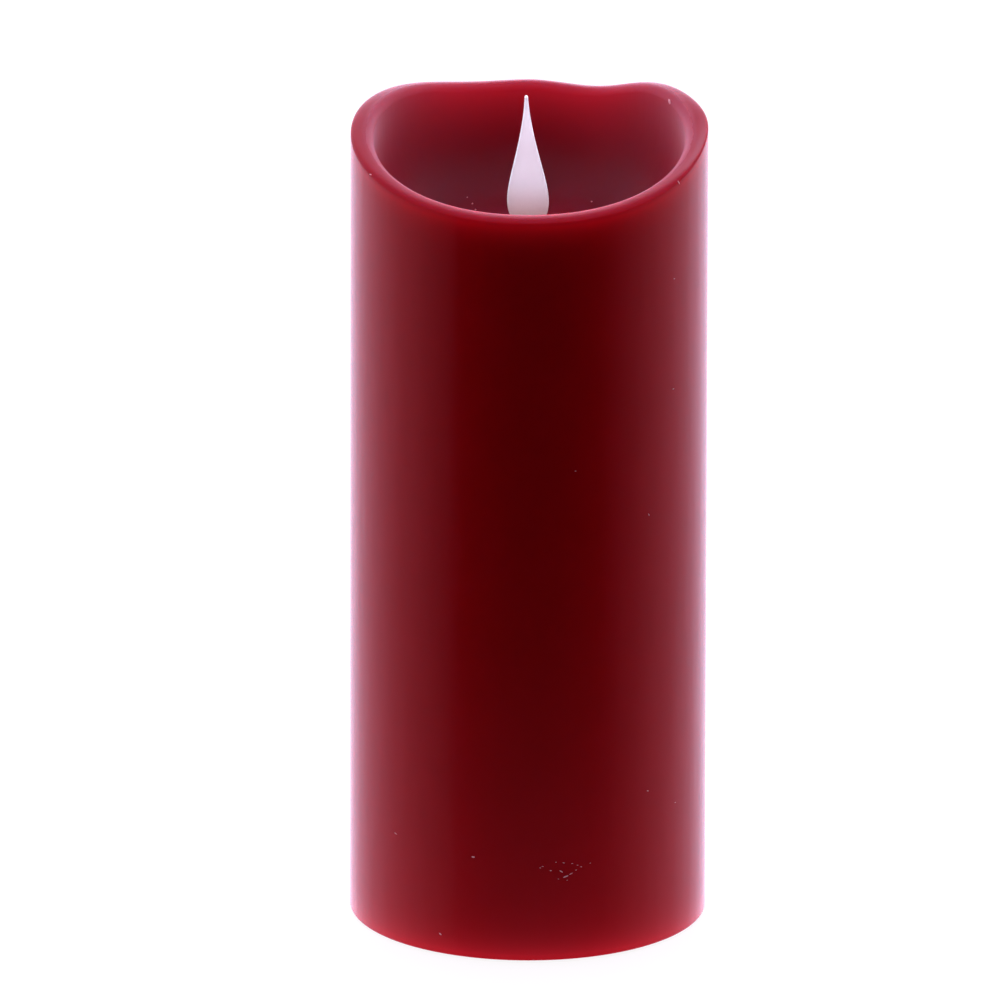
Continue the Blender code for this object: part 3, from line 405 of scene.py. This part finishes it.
def make_flame(material):
    """Flat flame with rounded edges, as a stack of rings from its tip to its tail."""
    rows = 150
    bm = bmesh.new()
    rings = []
    for row in range(rows + 1):
        down = (row / rows) ** 1.25
        rings.append([bm.verts.new(point)
                      for point in flame_ring(FLAME_TIP - (FLAME_TIP - TAIL_BOTTOM) * down)])
    for ring, following in zip(rings, rings[1:]):
        for side in range(len(ring)):
            after = (side + 1) % len(ring)
            bm.faces.new((ring[side], ring[after], following[after], following[side]))
    bm.faces.new(rings[0])
    bm.faces.new(rings[-1])
    eye = aim(cylinder(FLAME_EYE_HOLE, 0.0, 6.0), (0.0, -3.0, PIVOT_Z), (0, 1, 0))
    piece = make_piece("frosted_flame", combine(bm, cuts=[eye]), "flame", material, "flame")
    piece.visible_glossy = False


# ---- plastic, metal and rubber parts -----------------------------------------------------------------

LAMP_FOOT = Vector((7.2, -7.2, 180.5))
LAMP_AIM = Vector((0.0, 0.0, 206.0)) - LAMP_FOOT
CELL_OFFSET = 17.8            # from the middle to each cell's centre


def make_cap(material):
    """The cap under the bowl's hole: a plate, a domed boss, the flame's slot and the lamp's window."""
    low, high = cad("mechanism_cap")
    plate_top = WAX_FLOOR_UNDERSIDE - 0.3
    boss_radius, crown = 10.5, 1.2
    boss = [(0, low.z + 1), (boss_radius, low.z + 1),
            *arc((boss_radius - crown, high.z - crown), (crown, crown), 0, 90, 6), (0, high.z)]
    plate = box(low, (high.x, high.y, plate_top))
    slot = box((-6.3, -2.7, low.z - 1), (6.3, 2.7, high.z + 1))
    aperture = aim(cylinder(2.9, 5.0, 25.0), LAMP_FOOT, LAMP_AIM)
    bm = combine(plate, cuts=[slot, aperture], joins=[lathe(boss, segments=96)])
    soften(make_piece("bowl_cap", bm, "housing", material, "mechanism_cap", 35), 0.15)


def make_lamp(material):
    """5 mm lamp: a flange, a straight body and a domed end, aimed through the cap's window at the flame."""
    flange, radius, length = 2.85, 2.5, 8.6
    profile = [(0, 0), (flange, 0), (flange, 1.0), (radius, 1.0),
               *arc((0.0, length - radius), (radius, radius), 0, 90, 12)[:-1], (0, length)]
    bm = aim(lathe(profile), LAMP_FOOT, LAMP_AIM)
    make_piece("lamp", bm, "housing", material, "led", 35)


def make_foot(node, material):
    """Rubber foot with a rounded edge and a shallow hollow underneath."""
    low, high = cad(node)
    centre = ((low.x + high.x) / 2, (low.y + high.y) / 2)
    radius, edge, hollow = (high.x - low.x) / 2, 0.5, 2.0
    profile = [(0, 0.25), (hollow - 0.6, 0.25), (hollow, 0),
               *arc((radius - edge, edge), (edge, edge), -90, 0, 5),
               (radius, high.z), (0, high.z)]
    make_piece(f"soft_{node}", lathe(profile, centre), "housing", material, node)


def make_screw(node, direction, head_height, material):
    """Pan-head screw with a cross recess and a ridged shank; its size comes from the CAD screw's box."""
    low, high = cad(node)
    middle, direction = (low + high) / 2, Vector(direction)
    length = abs((high - low).dot(direction))
    head = sorted(high - low)[1] / 2
    shank, pitch = head / 2, 0.8
    edge = 0.6
    profile = [(0, 0), *arc((head - edge, edge), (edge, edge), -90, 0, 4),
               (head, head_height), (shank, head_height)]
    ridges = int((length - head_height - 2) / pitch)
    for ridge in range(ridges):
        base = head_height + 0.6 + ridge * pitch
        profile += [(shank * 0.8, base), (shank, base + pitch * 0.45), (shank, base + pitch * 0.55)]
    profile += [(shank * 0.8, length - 1.2), (0, length)]
    arm, slot = head * 0.5, head * 0.11
    depth = 0.9
    recess = combine(box((-arm, -slot, -1), (arm, slot, depth)),
                     joins=[box((-slot, -arm, -1), (slot, arm, depth))])
    bm = combine(lathe(profile, segments=40), cuts=[recess])
    foot = middle - direction * length / 2
    make_piece(f"cross_{node}", aim(bm, foot, direction), "housing", material, node, 35)


def make_knob(material):
    """Slide switch knob with grip ridges across its end."""
    low, high = cad("switch_knob")
    cuts = [box((x - 0.15, low.y - 1, low.z - 1), (x + 0.15, high.y + 1, low.z + 0.3))
            for x in (low.x + 0.7, (low.x + high.x) / 2, high.x - 0.7)]
    piece = make_piece("ridged_knob", combine(box(low, high), cuts=cuts), "switch_knob", material,
                       "switch_knob", 35)
    soften(piece, 0.1)


def make_cell(node, button_up, jacket, metal):
    """D cell: bare metal ends, a plain jacket between them, a crimped shoulder and a button."""
    low, high = cad(node)
    radius, length, button, edge = (high.x - low.x) / 2, high.z - low.z, 4.75, 0.9
    can = length - 1.5
    button_edge = 0.5
    profile = [(0, 0.3), (6.0, 0.3), (6.6, 0), (radius - edge, 0),
               *arc((radius - edge, edge), (edge, edge), -80, 0, 4),
               (radius, 2.4), (radius, 2.5), (radius, can - 2.5), (radius, can - 2.4),
               *arc((radius - edge, can - edge), (edge, edge), 0, 90, 4), (radius - 2.2, can - 0.6),
               (button + 1.2, can - 0.6), (button + 0.4, can),
               *arc((button - button_edge, length - button_edge), (button_edge, button_edge), 0, 90, 4),
               (0, length)]
    if button_up:
        profile = [(r, low.z + z) for r, z in profile]
    else:
        profile = [(r, high.z - z) for r, z in profile]
    centre = ((low.x + high.x) / 2, (low.y + high.y) / 2)
    bm = lathe(profile, centre, 96)
    piece = make_piece(f"jacketed_{node}", bm, "housing", metal, node, 35)
    piece.data.materials.append(jacket)
    for face in piece.data.polygons:
        heights = [piece.data.vertices[index].co.z for index in face.vertices]
        if max(heights) - min(heights) > 0.5 * length * MM:
            face.material_index = 1


def make_spring(node, body, bottom_radius, top_radius, material):
    """Conical contact spring, wound finer than the CAD's."""
    low, high = cad(node)
    wire, turns, steps, sides = 0.4, 2.5, 120, 12
    centre = Vector((CELL_OFFSET if low.x > 0 else -CELL_OFFSET, 0.0, 0.0))
    bm = bmesh.new()
    rings = []
    for step in range(steps + 1):
        part = step / steps
        a = 2 * math.pi * turns * part
        radius = bottom_radius + (top_radius - bottom_radius) * part
        out = Vector((math.cos(a), math.sin(a), 0.0))
        point = centre + radius * out + Vector((0, 0, low.z + wire + (high.z - low.z - 2 * wire) * part))
        spokes = [2 * math.pi * side / sides for side in range(sides)]
        rings.append([bm.verts.new(point + wire * (math.cos(b) * out + Vector((0, 0, math.sin(b)))))
                      for b in spokes])
    for ring, following in zip(rings, rings[1:]):
        for side in range(sides):
            after = (side + 1) % sides
            bm.faces.new((ring[side], ring[after], following[after], following[side]))
    bm.faces.new(rings[0])
    bm.faces.new(rings[-1])
    make_piece(f"wound_{node}", bm, body, material, node)


# ---- material helpers --------------------------------------------------------------------------------

class Nodes:
    """A short way to write a node tree: each call makes a node and wires its inputs."""

    def __init__(self, tree):
        self.tree = tree
        tree.nodes.clear()

    def add(self, kind, inputs=None, **settings):
        node = self.tree.nodes.new(kind)
        for name, value in settings.items():
            setattr(node, name, value)
        for key, value in (inputs or {}).items():
            self.feed(node.inputs[key], value)
        return node

    def feed(self, socket, value):
        if isinstance(value, bpy.types.NodeSocket):
            self.tree.links.new(value, socket)
        else:
            socket.default_value = value

    def math(self, operation, *values):
        node = self.tree.nodes.new("ShaderNodeMath")
        node.operation = operation
        for socket, value in zip(node.inputs, values):
            self.feed(socket, value)
        return node.outputs[0]

    def mix_colour(self, factor, first, second, blend="MIX"):
        node = self.tree.nodes.new("ShaderNodeMix")
        node.data_type = "RGBA"
        node.blend_type = blend
        for index, value in ((0, factor), (6, first), (7, second)):
            self.feed(node.inputs[index], value)
        return node.outputs[2]

    def ramp(self, value, stops):
        """Colour that runs evenly from stop to stop."""
        node = self.tree.nodes.new("ShaderNodeValToRGB")
        node.color_ramp.interpolation = "LINEAR"
        elements = node.color_ramp.elements
        while len(elements) < len(stops):
            elements.new(0.5)
        for element, (position, colour) in zip(elements, stops):
            element.position = position
            element.color = colour if len(colour) == 4 else (*colour, 1.0)
        self.feed(node.inputs[0], value)
        return node.outputs[0]

    def fade(self, distance, reach):
        """1 at no distance, falling off exponentially."""
        return self.math("POWER", math.e, self.math("DIVIDE", distance, -reach))

    def noise(self, vector, scale, detail=3.0, roughness=0.5):
        node = self.add("ShaderNodeTexNoise", {"Vector": vector, "Scale": scale, "Detail": detail,
                                               "Roughness": roughness})
        return node.outputs["Fac"]


def new_material(name):
    material = bpy.data.materials.new(name)
    material.use_nodes = True
    nodes = Nodes(material.node_tree)
    output = nodes.add("ShaderNodeOutputMaterial")
    return material, nodes, output


def grey(value):
    return (value, value, value)


# ---- materials ---------------------------------------------------------------------------------------

def wax_material():
    """Translucent red wax, redder and lighter where light leaks through the thin rim and the foot: that glow
    is painted light, an emission. Painted shade darkens the base colour on the rim's crest, at the bowl's
    top and deep in the bowl, and a painted haze lightens the bowl's colour.
    """
    material, nodes, output = new_material("red_wax")
    place = nodes.add("ShaderNodeTexCoord").outputs["Object"]
    mottle = nodes.noise(place, 60.0, 4.0)
    thick = nodes.mix_colour(mottle, (0.37, 0.0003, 0.0030, 1), (0.42, 0.0010, 0.0060, 1))
    # The bowl's own red with a painted haze: its raised green and blue stand in for a veil of reflected
    # light.
    bowl_painted_haze = nodes.mix_colour(mottle, (0.25, 0.0100, 0.0200, 1), (0.29, 0.0120, 0.0240, 1))
    in_bowl = nodes.add("ShaderNodeAttribute", attribute_name="in_bowl").outputs["Fac"]
    below_rim = nodes.add("ShaderNodeAttribute", attribute_name="below_rim").outputs["Fac"]
    split = nodes.add("ShaderNodeSeparateXYZ", {"Vector": place})
    height = split.outputs[2]
    # Painted shade: the bowl's colour darkens deeper below the rim.
    deep = nodes.add("ShaderNodeMapRange", {"Value": below_rim, "From Min": 0.010,
                                            "From Max": 0.034}).outputs[0]
    bowl_painted_haze = nodes.mix_colour(deep, bowl_painted_haze, (0.11, 0.0065, 0.0130, 1))
    # Painted shade: the base colour is darkened on the rim's crest, where light from above falls strongest.
    crest = nodes.add("ShaderNodeMapRange", {"Value": below_rim, "From Min": 0.0030, "From Max": 0.0004},
                      interpolation_type="SMOOTHSTEP").outputs[0]
    bowl_top = nodes.fade(below_rim, 0.0060)
    outside = nodes.mix_colour(crest, thick, (0.10, 0.003, 0.010, 1))
    # Painted shade and haze: near the top of the bowl the colour is a darker red with more green and blue.
    inside = nodes.mix_colour(bowl_top, bowl_painted_haze, (0.17, 0.013, 0.033, 1))
    colour = nodes.mix_colour(in_bowl, outside, inside)
    # Painted light: emission stands in for light leaking through the thin rim and the bowl's top, weaker
    # right at the lip and at the bowl's sides, and for light bounced from the floor into the foot.
    rim_glow = nodes.math("MULTIPLY", nodes.fade(below_rim, 0.0034), 0.19)
    bowl_glow = nodes.math("MULTIPLY", nodes.fade(below_rim, 0.0075), 0.31)
    thin_lip = nodes.math("MULTIPLY_ADD", nodes.fade(below_rim, 0.0014), -0.50, 1.0)
    bowl_glow = nodes.math("MULTIPLY", bowl_glow, thin_lip)
    off_middle = nodes.math("ABSOLUTE", split.outputs[0])
    at_sides = nodes.add("ShaderNodeMapRange", {"Value": off_middle, "From Min": 0.020, "From Max": 0.046,
                                                "To Min": 1.30, "To Max": 0.45},
                         interpolation_type="SMOOTHSTEP").outputs[0]
    bowl_glow = nodes.math("MULTIPLY", bowl_glow, at_sides)
    foot_glow = nodes.math("MULTIPLY", nodes.fade(height, 0.0042), 0.30)
    off_edge = nodes.add("ShaderNodeMapRange", {"Value": height, "From Min": 0.0004, "From Max": 0.0018,
                                                "To Min": 0.35, "To Max": 1.0}).outputs[0]
    foot_glow = nodes.math("MULTIPLY", foot_glow, off_edge)
    glow = nodes.add("ShaderNodeMix", {0: in_bowl, 2: rim_glow, 3: bowl_glow}).outputs[0]
    glow = nodes.math("ADD", glow, foot_glow)
    glow_colour = nodes.mix_colour(nodes.fade(height, 0.02), (1.0, 0.012, 0.030, 1), (1.0, 0.03, 0.06, 1))
    low_in_bowl = nodes.add("ShaderNodeMapRange", {"Value": height, "From Min": 0.204, "From Max": 0.230},
                            interpolation_type="SMOOTHSTEP").outputs[0]
    haze = nodes.math("MULTIPLY", in_bowl, nodes.math("MULTIPLY", low_in_bowl, 0.36))
    streaks = nodes.add("ShaderNodeMapping", {"Vector": place, "Scale": (1.0, 1.0, 0.12)}).outputs[0]
    ripple = nodes.noise(streaks, 170.0, 3.0)
    fine = nodes.noise(place, 900.0, 2.0)
    relief = nodes.math("ADD", ripple, nodes.math("MULTIPLY", fine, 0.08))
    bump = nodes.add("ShaderNodeBump", {"Strength": 0.15, "Distance": 0.0006, "Height": relief})
    uneven = nodes.math("MULTIPLY", nodes.noise(place, 240.0), 0.10)
    roughness = nodes.math("ADD", uneven, nodes.math("MULTIPLY_ADD", in_bowl, 0.20, 0.15))
    shader = nodes.add("ShaderNodeBsdfPrincipled", {
        "Base Color": colour,
        "Roughness": roughness,
        "IOR": 1.45,
        "Specular IOR Level": nodes.math("MULTIPLY_ADD", crest, -0.22, 0.50),
        "Subsurface Weight": 1.0,
        "Subsurface Radius": (1.0, 0.12, 0.10),
        "Subsurface Scale": 0.008,
        "Emission Color": glow_colour,
        "Emission Strength": glow,
        "Sheen Weight": haze,
        "Sheen Roughness": 0.45,
        "Normal": bump.outputs[0],
    })
    nodes.feed(output.inputs["Surface"], shader.outputs[0])
    return material


def flame_material():
    """Frosted plastic: light passes through it. Painted light, an emission, makes its face bright and its
    rounded edges brightest, and painted shade darkens its foot.
    """
    material, nodes, output = new_material("frosted_flame")
    place = nodes.add("ShaderNodeTexCoord").outputs["Object"]
    frost = nodes.noise(place, 1500.0, 3.0)
    bump = nodes.add("ShaderNodeBump", {"Strength": 0.12, "Distance": 0.0001, "Height": frost})
    frosted = nodes.mix_colour(frost, (0.89, 0.92, 0.89, 1), (0.93, 0.96, 0.93, 1))
    height = nodes.add("ShaderNodeSeparateXYZ", {"Vector": place}).outputs[2]
    # Painted shade: the flame's colour turns darker and warmer low down, where the bowl shades it.
    clear_of_bowl = nodes.add("ShaderNodeMapRange", {"Value": height, "From Min": 0.202, "From Max": 0.214},
                              interpolation_type="SMOOTHSTEP").outputs[0]
    in_shade = nodes.mix_colour(1.0, frosted, (0.95, 0.86, 0.80, 1), "MULTIPLY")
    colour = nodes.mix_colour(clear_of_bowl, in_shade, frosted)
    # Painted light: emission brightens the face below the tip, and a painted highlight on the rounded edges
    # makes them brightest; both fade out low down.
    facing = nodes.add("ShaderNodeLayerWeight", {"Blend": 0.5}).outputs["Facing"]
    edge_light = nodes.math("MULTIPLY", nodes.math("POWER", facing, 2.5), 4.0)
    upper = nodes.add("ShaderNodeMapRange", {"Value": height, "From Min": 0.200, "From Max": 0.216},
                      interpolation_type="SMOOTHSTEP").outputs[0]
    top = nodes.add("ShaderNodeMapRange", {"Value": height, "From Min": 0.213, "From Max": 0.226},
                    interpolation_type="SMOOTHSTEP").outputs[0]
    colour = nodes.mix_colour(top, colour, (0.88, 0.94, 0.90, 1))
    face_light = nodes.math("SUBTRACT", 1.0, top)
    glow = nodes.math("MULTIPLY", upper, nodes.math("ADD", face_light, edge_light))
    face = nodes.add("ShaderNodeBsdfPrincipled", {
        "Base Color": colour, "Roughness": 0.42, "IOR": 1.46, "Normal": bump.outputs[0],
        "Emission Color": (0.11, 0.19, 0.21, 1), "Emission Strength": glow})
    through = nodes.add("ShaderNodeBsdfTranslucent", {"Color": colour, "Normal": bump.outputs[0]})
    mixed = nodes.add("ShaderNodeMixShader", {0: 0.60, 1: face.outputs[0], 2: through.outputs[0]})
    nodes.feed(output.inputs["Surface"], mixed.outputs[0])
    return material


def plastic_material(name, colour, roughness, grain=2200.0, depth=0.00003):
    """Moulded plastic: a spark-eroded grain, faint scuffs and uneven gloss."""
    material, nodes, output = new_material(name)
    place = nodes.add("ShaderNodeTexCoord").outputs["Object"]
    texture = nodes.noise(place, grain, 2.0)
    scuff = nodes.noise(place, 90.0, 5.0, 0.7)
    lighter = tuple(min(1.0, channel * 1.35 + 0.004) for channel in colour)
    shade = nodes.mix_colour(scuff, (*colour, 1), (*lighter, 1))
    bump = nodes.add("ShaderNodeBump", {"Strength": 0.5, "Distance": depth, "Height": texture})
    shader = nodes.add("ShaderNodeBsdfPrincipled", {
        "Base Color": shade,
        "Roughness": nodes.math("ADD", roughness - 0.08, nodes.math("MULTIPLY", scuff, 0.16)),
        "Normal": bump.outputs[0]})
    nodes.feed(output.inputs["Surface"], shader.outputs[0])
    return material


def metal_material(name, colour, roughness, grain=400.0):
    """Bright metal with fine uneven polish and a little dulling."""
    material, nodes, output = new_material(name)
    place = nodes.add("ShaderNodeTexCoord").outputs["Object"]
    brushed = nodes.add("ShaderNodeMapping", {"Vector": place, "Scale": (1.0, 1.0, 8.0)}).outputs[0]
    lines = nodes.noise(brushed, grain, 3.0)
    dull = nodes.noise(place, 120.0, 4.0)
    darker = tuple(channel * 0.8 for channel in colour)
    shade = nodes.mix_colour(dull, (*colour, 1), (*darker, 1))
    bump = nodes.add("ShaderNodeBump", {"Strength": 0.3, "Distance": 0.00001, "Height": lines})
    shader = nodes.add("ShaderNodeBsdfPrincipled", {
        "Base Color": shade, "Metallic": 1.0,
        "Roughness": nodes.math("ADD", roughness, nodes.math("MULTIPLY", lines, 0.15)),
        "Normal": bump.outputs[0]})
    nodes.feed(output.inputs["Surface"], shader.outputs[0])
    return material


# ---- stage, light and camera -------------------------------------------------------------------------

STUDIO_TINT = (1.20, 0.95, 1.31)      # faintly lilac studio light
MIRRORED_TINT = (1.18, 1.02, 1.37)

# brightness round the candle, by direction in degrees from the front (positive to the right)
MIRRORED_AROUND = (
    (-180, 1.50), (-155, 1.20), (-135, 0.85), (-113, 0.60), (-92, 0.34), (-67, 0.16), (-52, 0.07),
    (-47, 0.0),
    (47, 0.0), (60, 0.05), (78, 0.16), (106, 0.40), (132, 0.80), (155, 1.20), (180, 1.50),
)
MIRRORED_ABOVE = 0.24
LIGHT_AROUND = (
    (-180, 3.60), (-150, 2.60), (-120, 1.55), (-100, 1.45), (-80, 1.05), (-60, 0.25), (-48, 0.03),
    (48, 0.03), (60, 0.15), (80, 0.86), (100, 1.30), (120, 1.50), (150, 2.60), (180, 3.60),
)
LIGHT_ABOVE = 1.2
LIGHT_STRENGTH = 1.6


def dome(nodes, around, above, low, high, tint):
    """Brightness by direction: a profile round the horizon that turns into one value above."""
    direction = nodes.add("ShaderNodeTexCoord").outputs["Generated"]
    split = nodes.add("ShaderNodeSeparateXYZ", {"Vector": direction})
    x, y, z = split.outputs
    turn = nodes.math("ARCTAN2", x, nodes.math("MULTIPLY", y, -1.0))
    place = nodes.math("ADD", nodes.math("DIVIDE", turn, 2 * math.pi), 0.5)
    brightest = max(above, *(level for azimuth, level in around))
    stops = [(0.5 + azimuth / 360, grey(level / brightest)) for azimuth, level in around]
    profile = nodes.ramp(place, stops)
    height = nodes.math("ARCSINE", z)
    upward = nodes.add("ShaderNodeMapRange", {"Value": height, "From Min": math.radians(low),
                                              "From Max": math.radians(high)},
                       interpolation_type="SMOOTHSTEP").outputs[0]
    level = nodes.mix_colour(upward, profile, (*grey(above / brightest), 1))
    return nodes.mix_colour(1.0, level, (*(channel * brightest for channel in tint), 1), "MULTIPLY")


def make_world():
    """White to the camera; one dome lights the candle and another is mirrored in it."""
    world = bpy.data.worlds.new("studio")
    bpy.context.scene.world = world
    world.use_nodes = True
    world.cycles.sampling_method = "NONE"
    nodes = Nodes(world.node_tree)
    path = nodes.add("ShaderNodeLightPath")
    mirrored = dome(nodes, MIRRORED_AROUND, MIRRORED_ABOVE, 22, 60, MIRRORED_TINT)
    light = dome(nodes, LIGHT_AROUND, LIGHT_ABOVE, 62, 75, STUDIO_TINT)
    lighting = nodes.add("ShaderNodeBackground", {"Color": light, "Strength": LIGHT_STRENGTH})
    mirroring = nodes.add("ShaderNodeBackground", {"Color": mirrored, "Strength": 1.0})
    backdrop = nodes.add("ShaderNodeBackground", {"Color": (1, 1, 1, 1), "Strength": 1.0})
    indirect = nodes.add("ShaderNodeMixShader", {0: path.outputs["Is Glossy Ray"], 1: lighting.outputs[0],
                                                 2: mirroring.outputs[0]})
    mixed = nodes.add("ShaderNodeMixShader", {0: path.outputs["Is Camera Ray"], 1: indirect.outputs[0],
                                              2: backdrop.outputs[0]})
    output = nodes.add("ShaderNodeOutputWorld")
    nodes.feed(output.inputs["Surface"], mixed.outputs[0])


def floor_glow(nodes, near, far, middle, edge):
    """Emission that falls from one level to another between two distances from the candle's middle."""
    place = nodes.add("ShaderNodeNewGeometry").outputs["Position"]
    away = nodes.add("ShaderNodeVectorMath", {0: place}, operation="LENGTH").outputs["Value"]
    level = nodes.add("ShaderNodeMapRange", {"Value": away, "From Min": middle, "From Max": edge,
                                             "To Min": near, "To Max": far},
                      interpolation_type="SMOOTHSTEP").outputs[0]
    return nodes.add("ShaderNodeEmission", {"Color": (*STUDIO_TINT, 1), "Strength": level}).outputs[0]


def floor_material():
    """White to the camera with a faint contact shadow; it bounces light back near the candle."""
    material, nodes, output = new_material("pale_floor")
    path = nodes.add("ShaderNodeLightPath")
    clear = nodes.add("ShaderNodeBsdfTransparent").outputs[0]
    paper = nodes.add("ShaderNodeBsdfDiffuse", {"Color": (0.14, 0.14, 0.14, 1)}).outputs[0]
    white = nodes.add("ShaderNodeEmission", {"Color": (1, 1, 1, 1), "Strength": 0.88}).outputs[0]
    seen = nodes.add("ShaderNodeAddShader", {0: paper, 1: white}).outputs[0]
    near_glow = floor_glow(nodes, 0.045, 0.0, 0.08, 0.40)
    mirrored = nodes.add("ShaderNodeAddShader", {0: clear, 1: near_glow}).outputs[0]
    bounce = floor_glow(nodes, 0.46, 0.02, 0.055, 0.24)
    indirect = nodes.add("ShaderNodeMixShader", {0: path.outputs["Is Glossy Ray"], 1: bounce, 2: mirrored})
    lit = nodes.add("ShaderNodeMixShader", {0: path.outputs["Is Camera Ray"], 1: indirect.outputs[0],
                                            2: seen})
    below = nodes.add("ShaderNodeNewGeometry").outputs["Backfacing"]
    surface = nodes.add("ShaderNodeMixShader", {0: below, 1: lit.outputs[0], 2: clear})
    nodes.feed(output.inputs["Surface"], surface.outputs[0])
    return material


def make_floor():
    half = 3.0
    mesh = bpy.data.meshes.new("pale_floor")
    corners = [(-half, -half, 0), (half, -half, 0), (half, half, 0), (-half, half, 0)]
    mesh.from_pydata(corners, [], [(0, 1, 2, 3)])
    mesh.materials.append(floor_material())
    floor = bpy.data.objects.new("pale_floor", mesh)
    floor.location.z = -0.0001
    bpy.context.scene.collection.objects.link(floor)


CAMERA_ELEVATION = 18.1                # degrees; the distances here are in metres
CAMERA_DISTANCE = 7.5
CAMERA_ROLL = 0.13
FIELD_WIDTH = 0.2806                   # width of the picture at the candle
CAMERA_TARGET = Vector((-0.0080, 0.0, 0.1199))
SENSOR_WIDTH = 36.0


def make_camera():
    data = bpy.data.cameras.new("camera")
    data.sensor_width = SENSOR_WIDTH
    data.lens = SENSOR_WIDTH * CAMERA_DISTANCE / FIELD_WIDTH
    data.clip_start = 0.1
    data.clip_end = 30.0
    camera = bpy.data.objects.new("camera", data)
    elevation = math.radians(CAMERA_ELEVATION)
    back = Vector((0.0, -math.cos(elevation), math.sin(elevation)))
    camera.location = CAMERA_TARGET + back * CAMERA_DISTANCE
    turn = (-back).to_track_quat("-Z", "Y").to_matrix() @ Matrix.Rotation(math.radians(CAMERA_ROLL), 3, "Z")
    camera.rotation_euler = turn.to_euler()
    bpy.context.scene.collection.objects.link(camera)
    bpy.context.scene.camera = camera


def make_finishes():
    """Every finish but the wax's and the flame's, by the record's material slot."""
    nickel = metal_material("nickel", (0.66, 0.63, 0.58), 0.20)
    return {
        "black_plastic": plastic_material("black_plastic", (0.020, 0.020, 0.022), 0.45),
        "white_plastic": plastic_material("white_plastic", (0.75, 0.74, 0.70), 0.42),
        "natural_plastic": plastic_material("natural_plastic", (0.60, 0.58, 0.50), 0.50),
        "steel": metal_material("steel", (0.56, 0.56, 0.55), 0.25),
        "magnet": nickel,
        "contact_metal": nickel,
        "copper": metal_material("copper", (0.72, 0.30, 0.14), 0.28),
        "circuit_board": plastic_material("circuit_board", (0.02, 0.16, 0.05), 0.35),
        "component_black": plastic_material("component_black", (0.015, 0.015, 0.015), 0.40),
        "capacitor_sleeve": plastic_material("capacitor_sleeve", (0.02, 0.03, 0.12), 0.30),
        "cell_jacket": plastic_material("cell_jacket", (0.05, 0.16, 0.10), 0.30),
        "lamp_epoxy": plastic_material("lamp_epoxy", (0.85, 0.82, 0.70), 0.15),
        "rubber": plastic_material("rubber", (0.03, 0.03, 0.03), 0.80),
        "wire_red": plastic_material("wire_red", (0.55, 0.02, 0.02), 0.45),
        "wire_black": plastic_material("wire_black", (0.02, 0.02, 0.02), 0.45),
        "wire_yellow": plastic_material("wire_yellow", (0.70, 0.50, 0.05), 0.45),
        "wire_white": plastic_material("wire_white", (0.75, 0.75, 0.72), 0.45),
    }


SOFT_EDGES = {                # width of the rounding, by CAD node
    "base_plate": 0.20, "battery_door": 0.20, "battery_case": 0.30, "support_column": 0.30,
    "switch_body": 0.15, "mechanism_front_shell": 0.25, "mechanism_rear_shell": 0.25,
    "circuit_board": 0.10, "microcontroller": 0.05,
    "positive_contact": 0.08, "negative_contact": 0.08, "bridge_contact": 0.08,
}


def dress_cad_nodes(finishes):
    """Give every CAD node that stays on show its finish, and soften the edges of the moulded ones."""
    for entry in frame["record"]["subparts"]:
        node = frame["nodes"][entry["node"]]
        finish = finishes.get(entry["material_slot"])
        if finish:
            node.data.materials.clear()
            node.data.materials.append(finish)
        if entry["node"] in SOFT_EDGES:
            soften(node, SOFT_EDGES[entry["node"]])


finishes = make_finishes()
make_wax(wax_material())
make_flecks(plastic_material("lint", (0.70, 0.42, 0.42), 0.60))
make_flame(flame_material())
make_cap(finishes["black_plastic"])
make_lamp(finishes["lamp_epoxy"])
make_knob(finishes["white_plastic"])
for corner in ("front_left", "front_right", "rear_left", "rear_right"):
    make_foot(f"foot_{corner}", finishes["rubber"])
for number in range(1, 5):
    make_screw(f"base_screw_{number}", (0, 0, 1), 1.4, finishes["steel"])
for side in ("front", "rear"):
    make_screw(f"column_screw_{side}", (0, 0, -1), 1.4, finishes["steel"])
for side in ("left", "right"):
    make_screw(f"mechanism_screw_{side}", (0, 1, 0), 1.2, finishes["steel"])
make_cell("d_cell_left", True, finishes["cell_jacket"], finishes["contact_metal"])
make_cell("d_cell_right", False, finishes["cell_jacket"], finishes["contact_metal"])
make_spring("bridge_spring", "battery_door", 6.0, 3.5, finishes["steel"])
make_spring("negative_spring", "housing", 3.5, 6.0, finishes["steel"])
dress_cad_nodes(finishes)
make_world()
make_floor()
make_camera()
bpy.context.scene.view_settings.view_transform = "Standard"
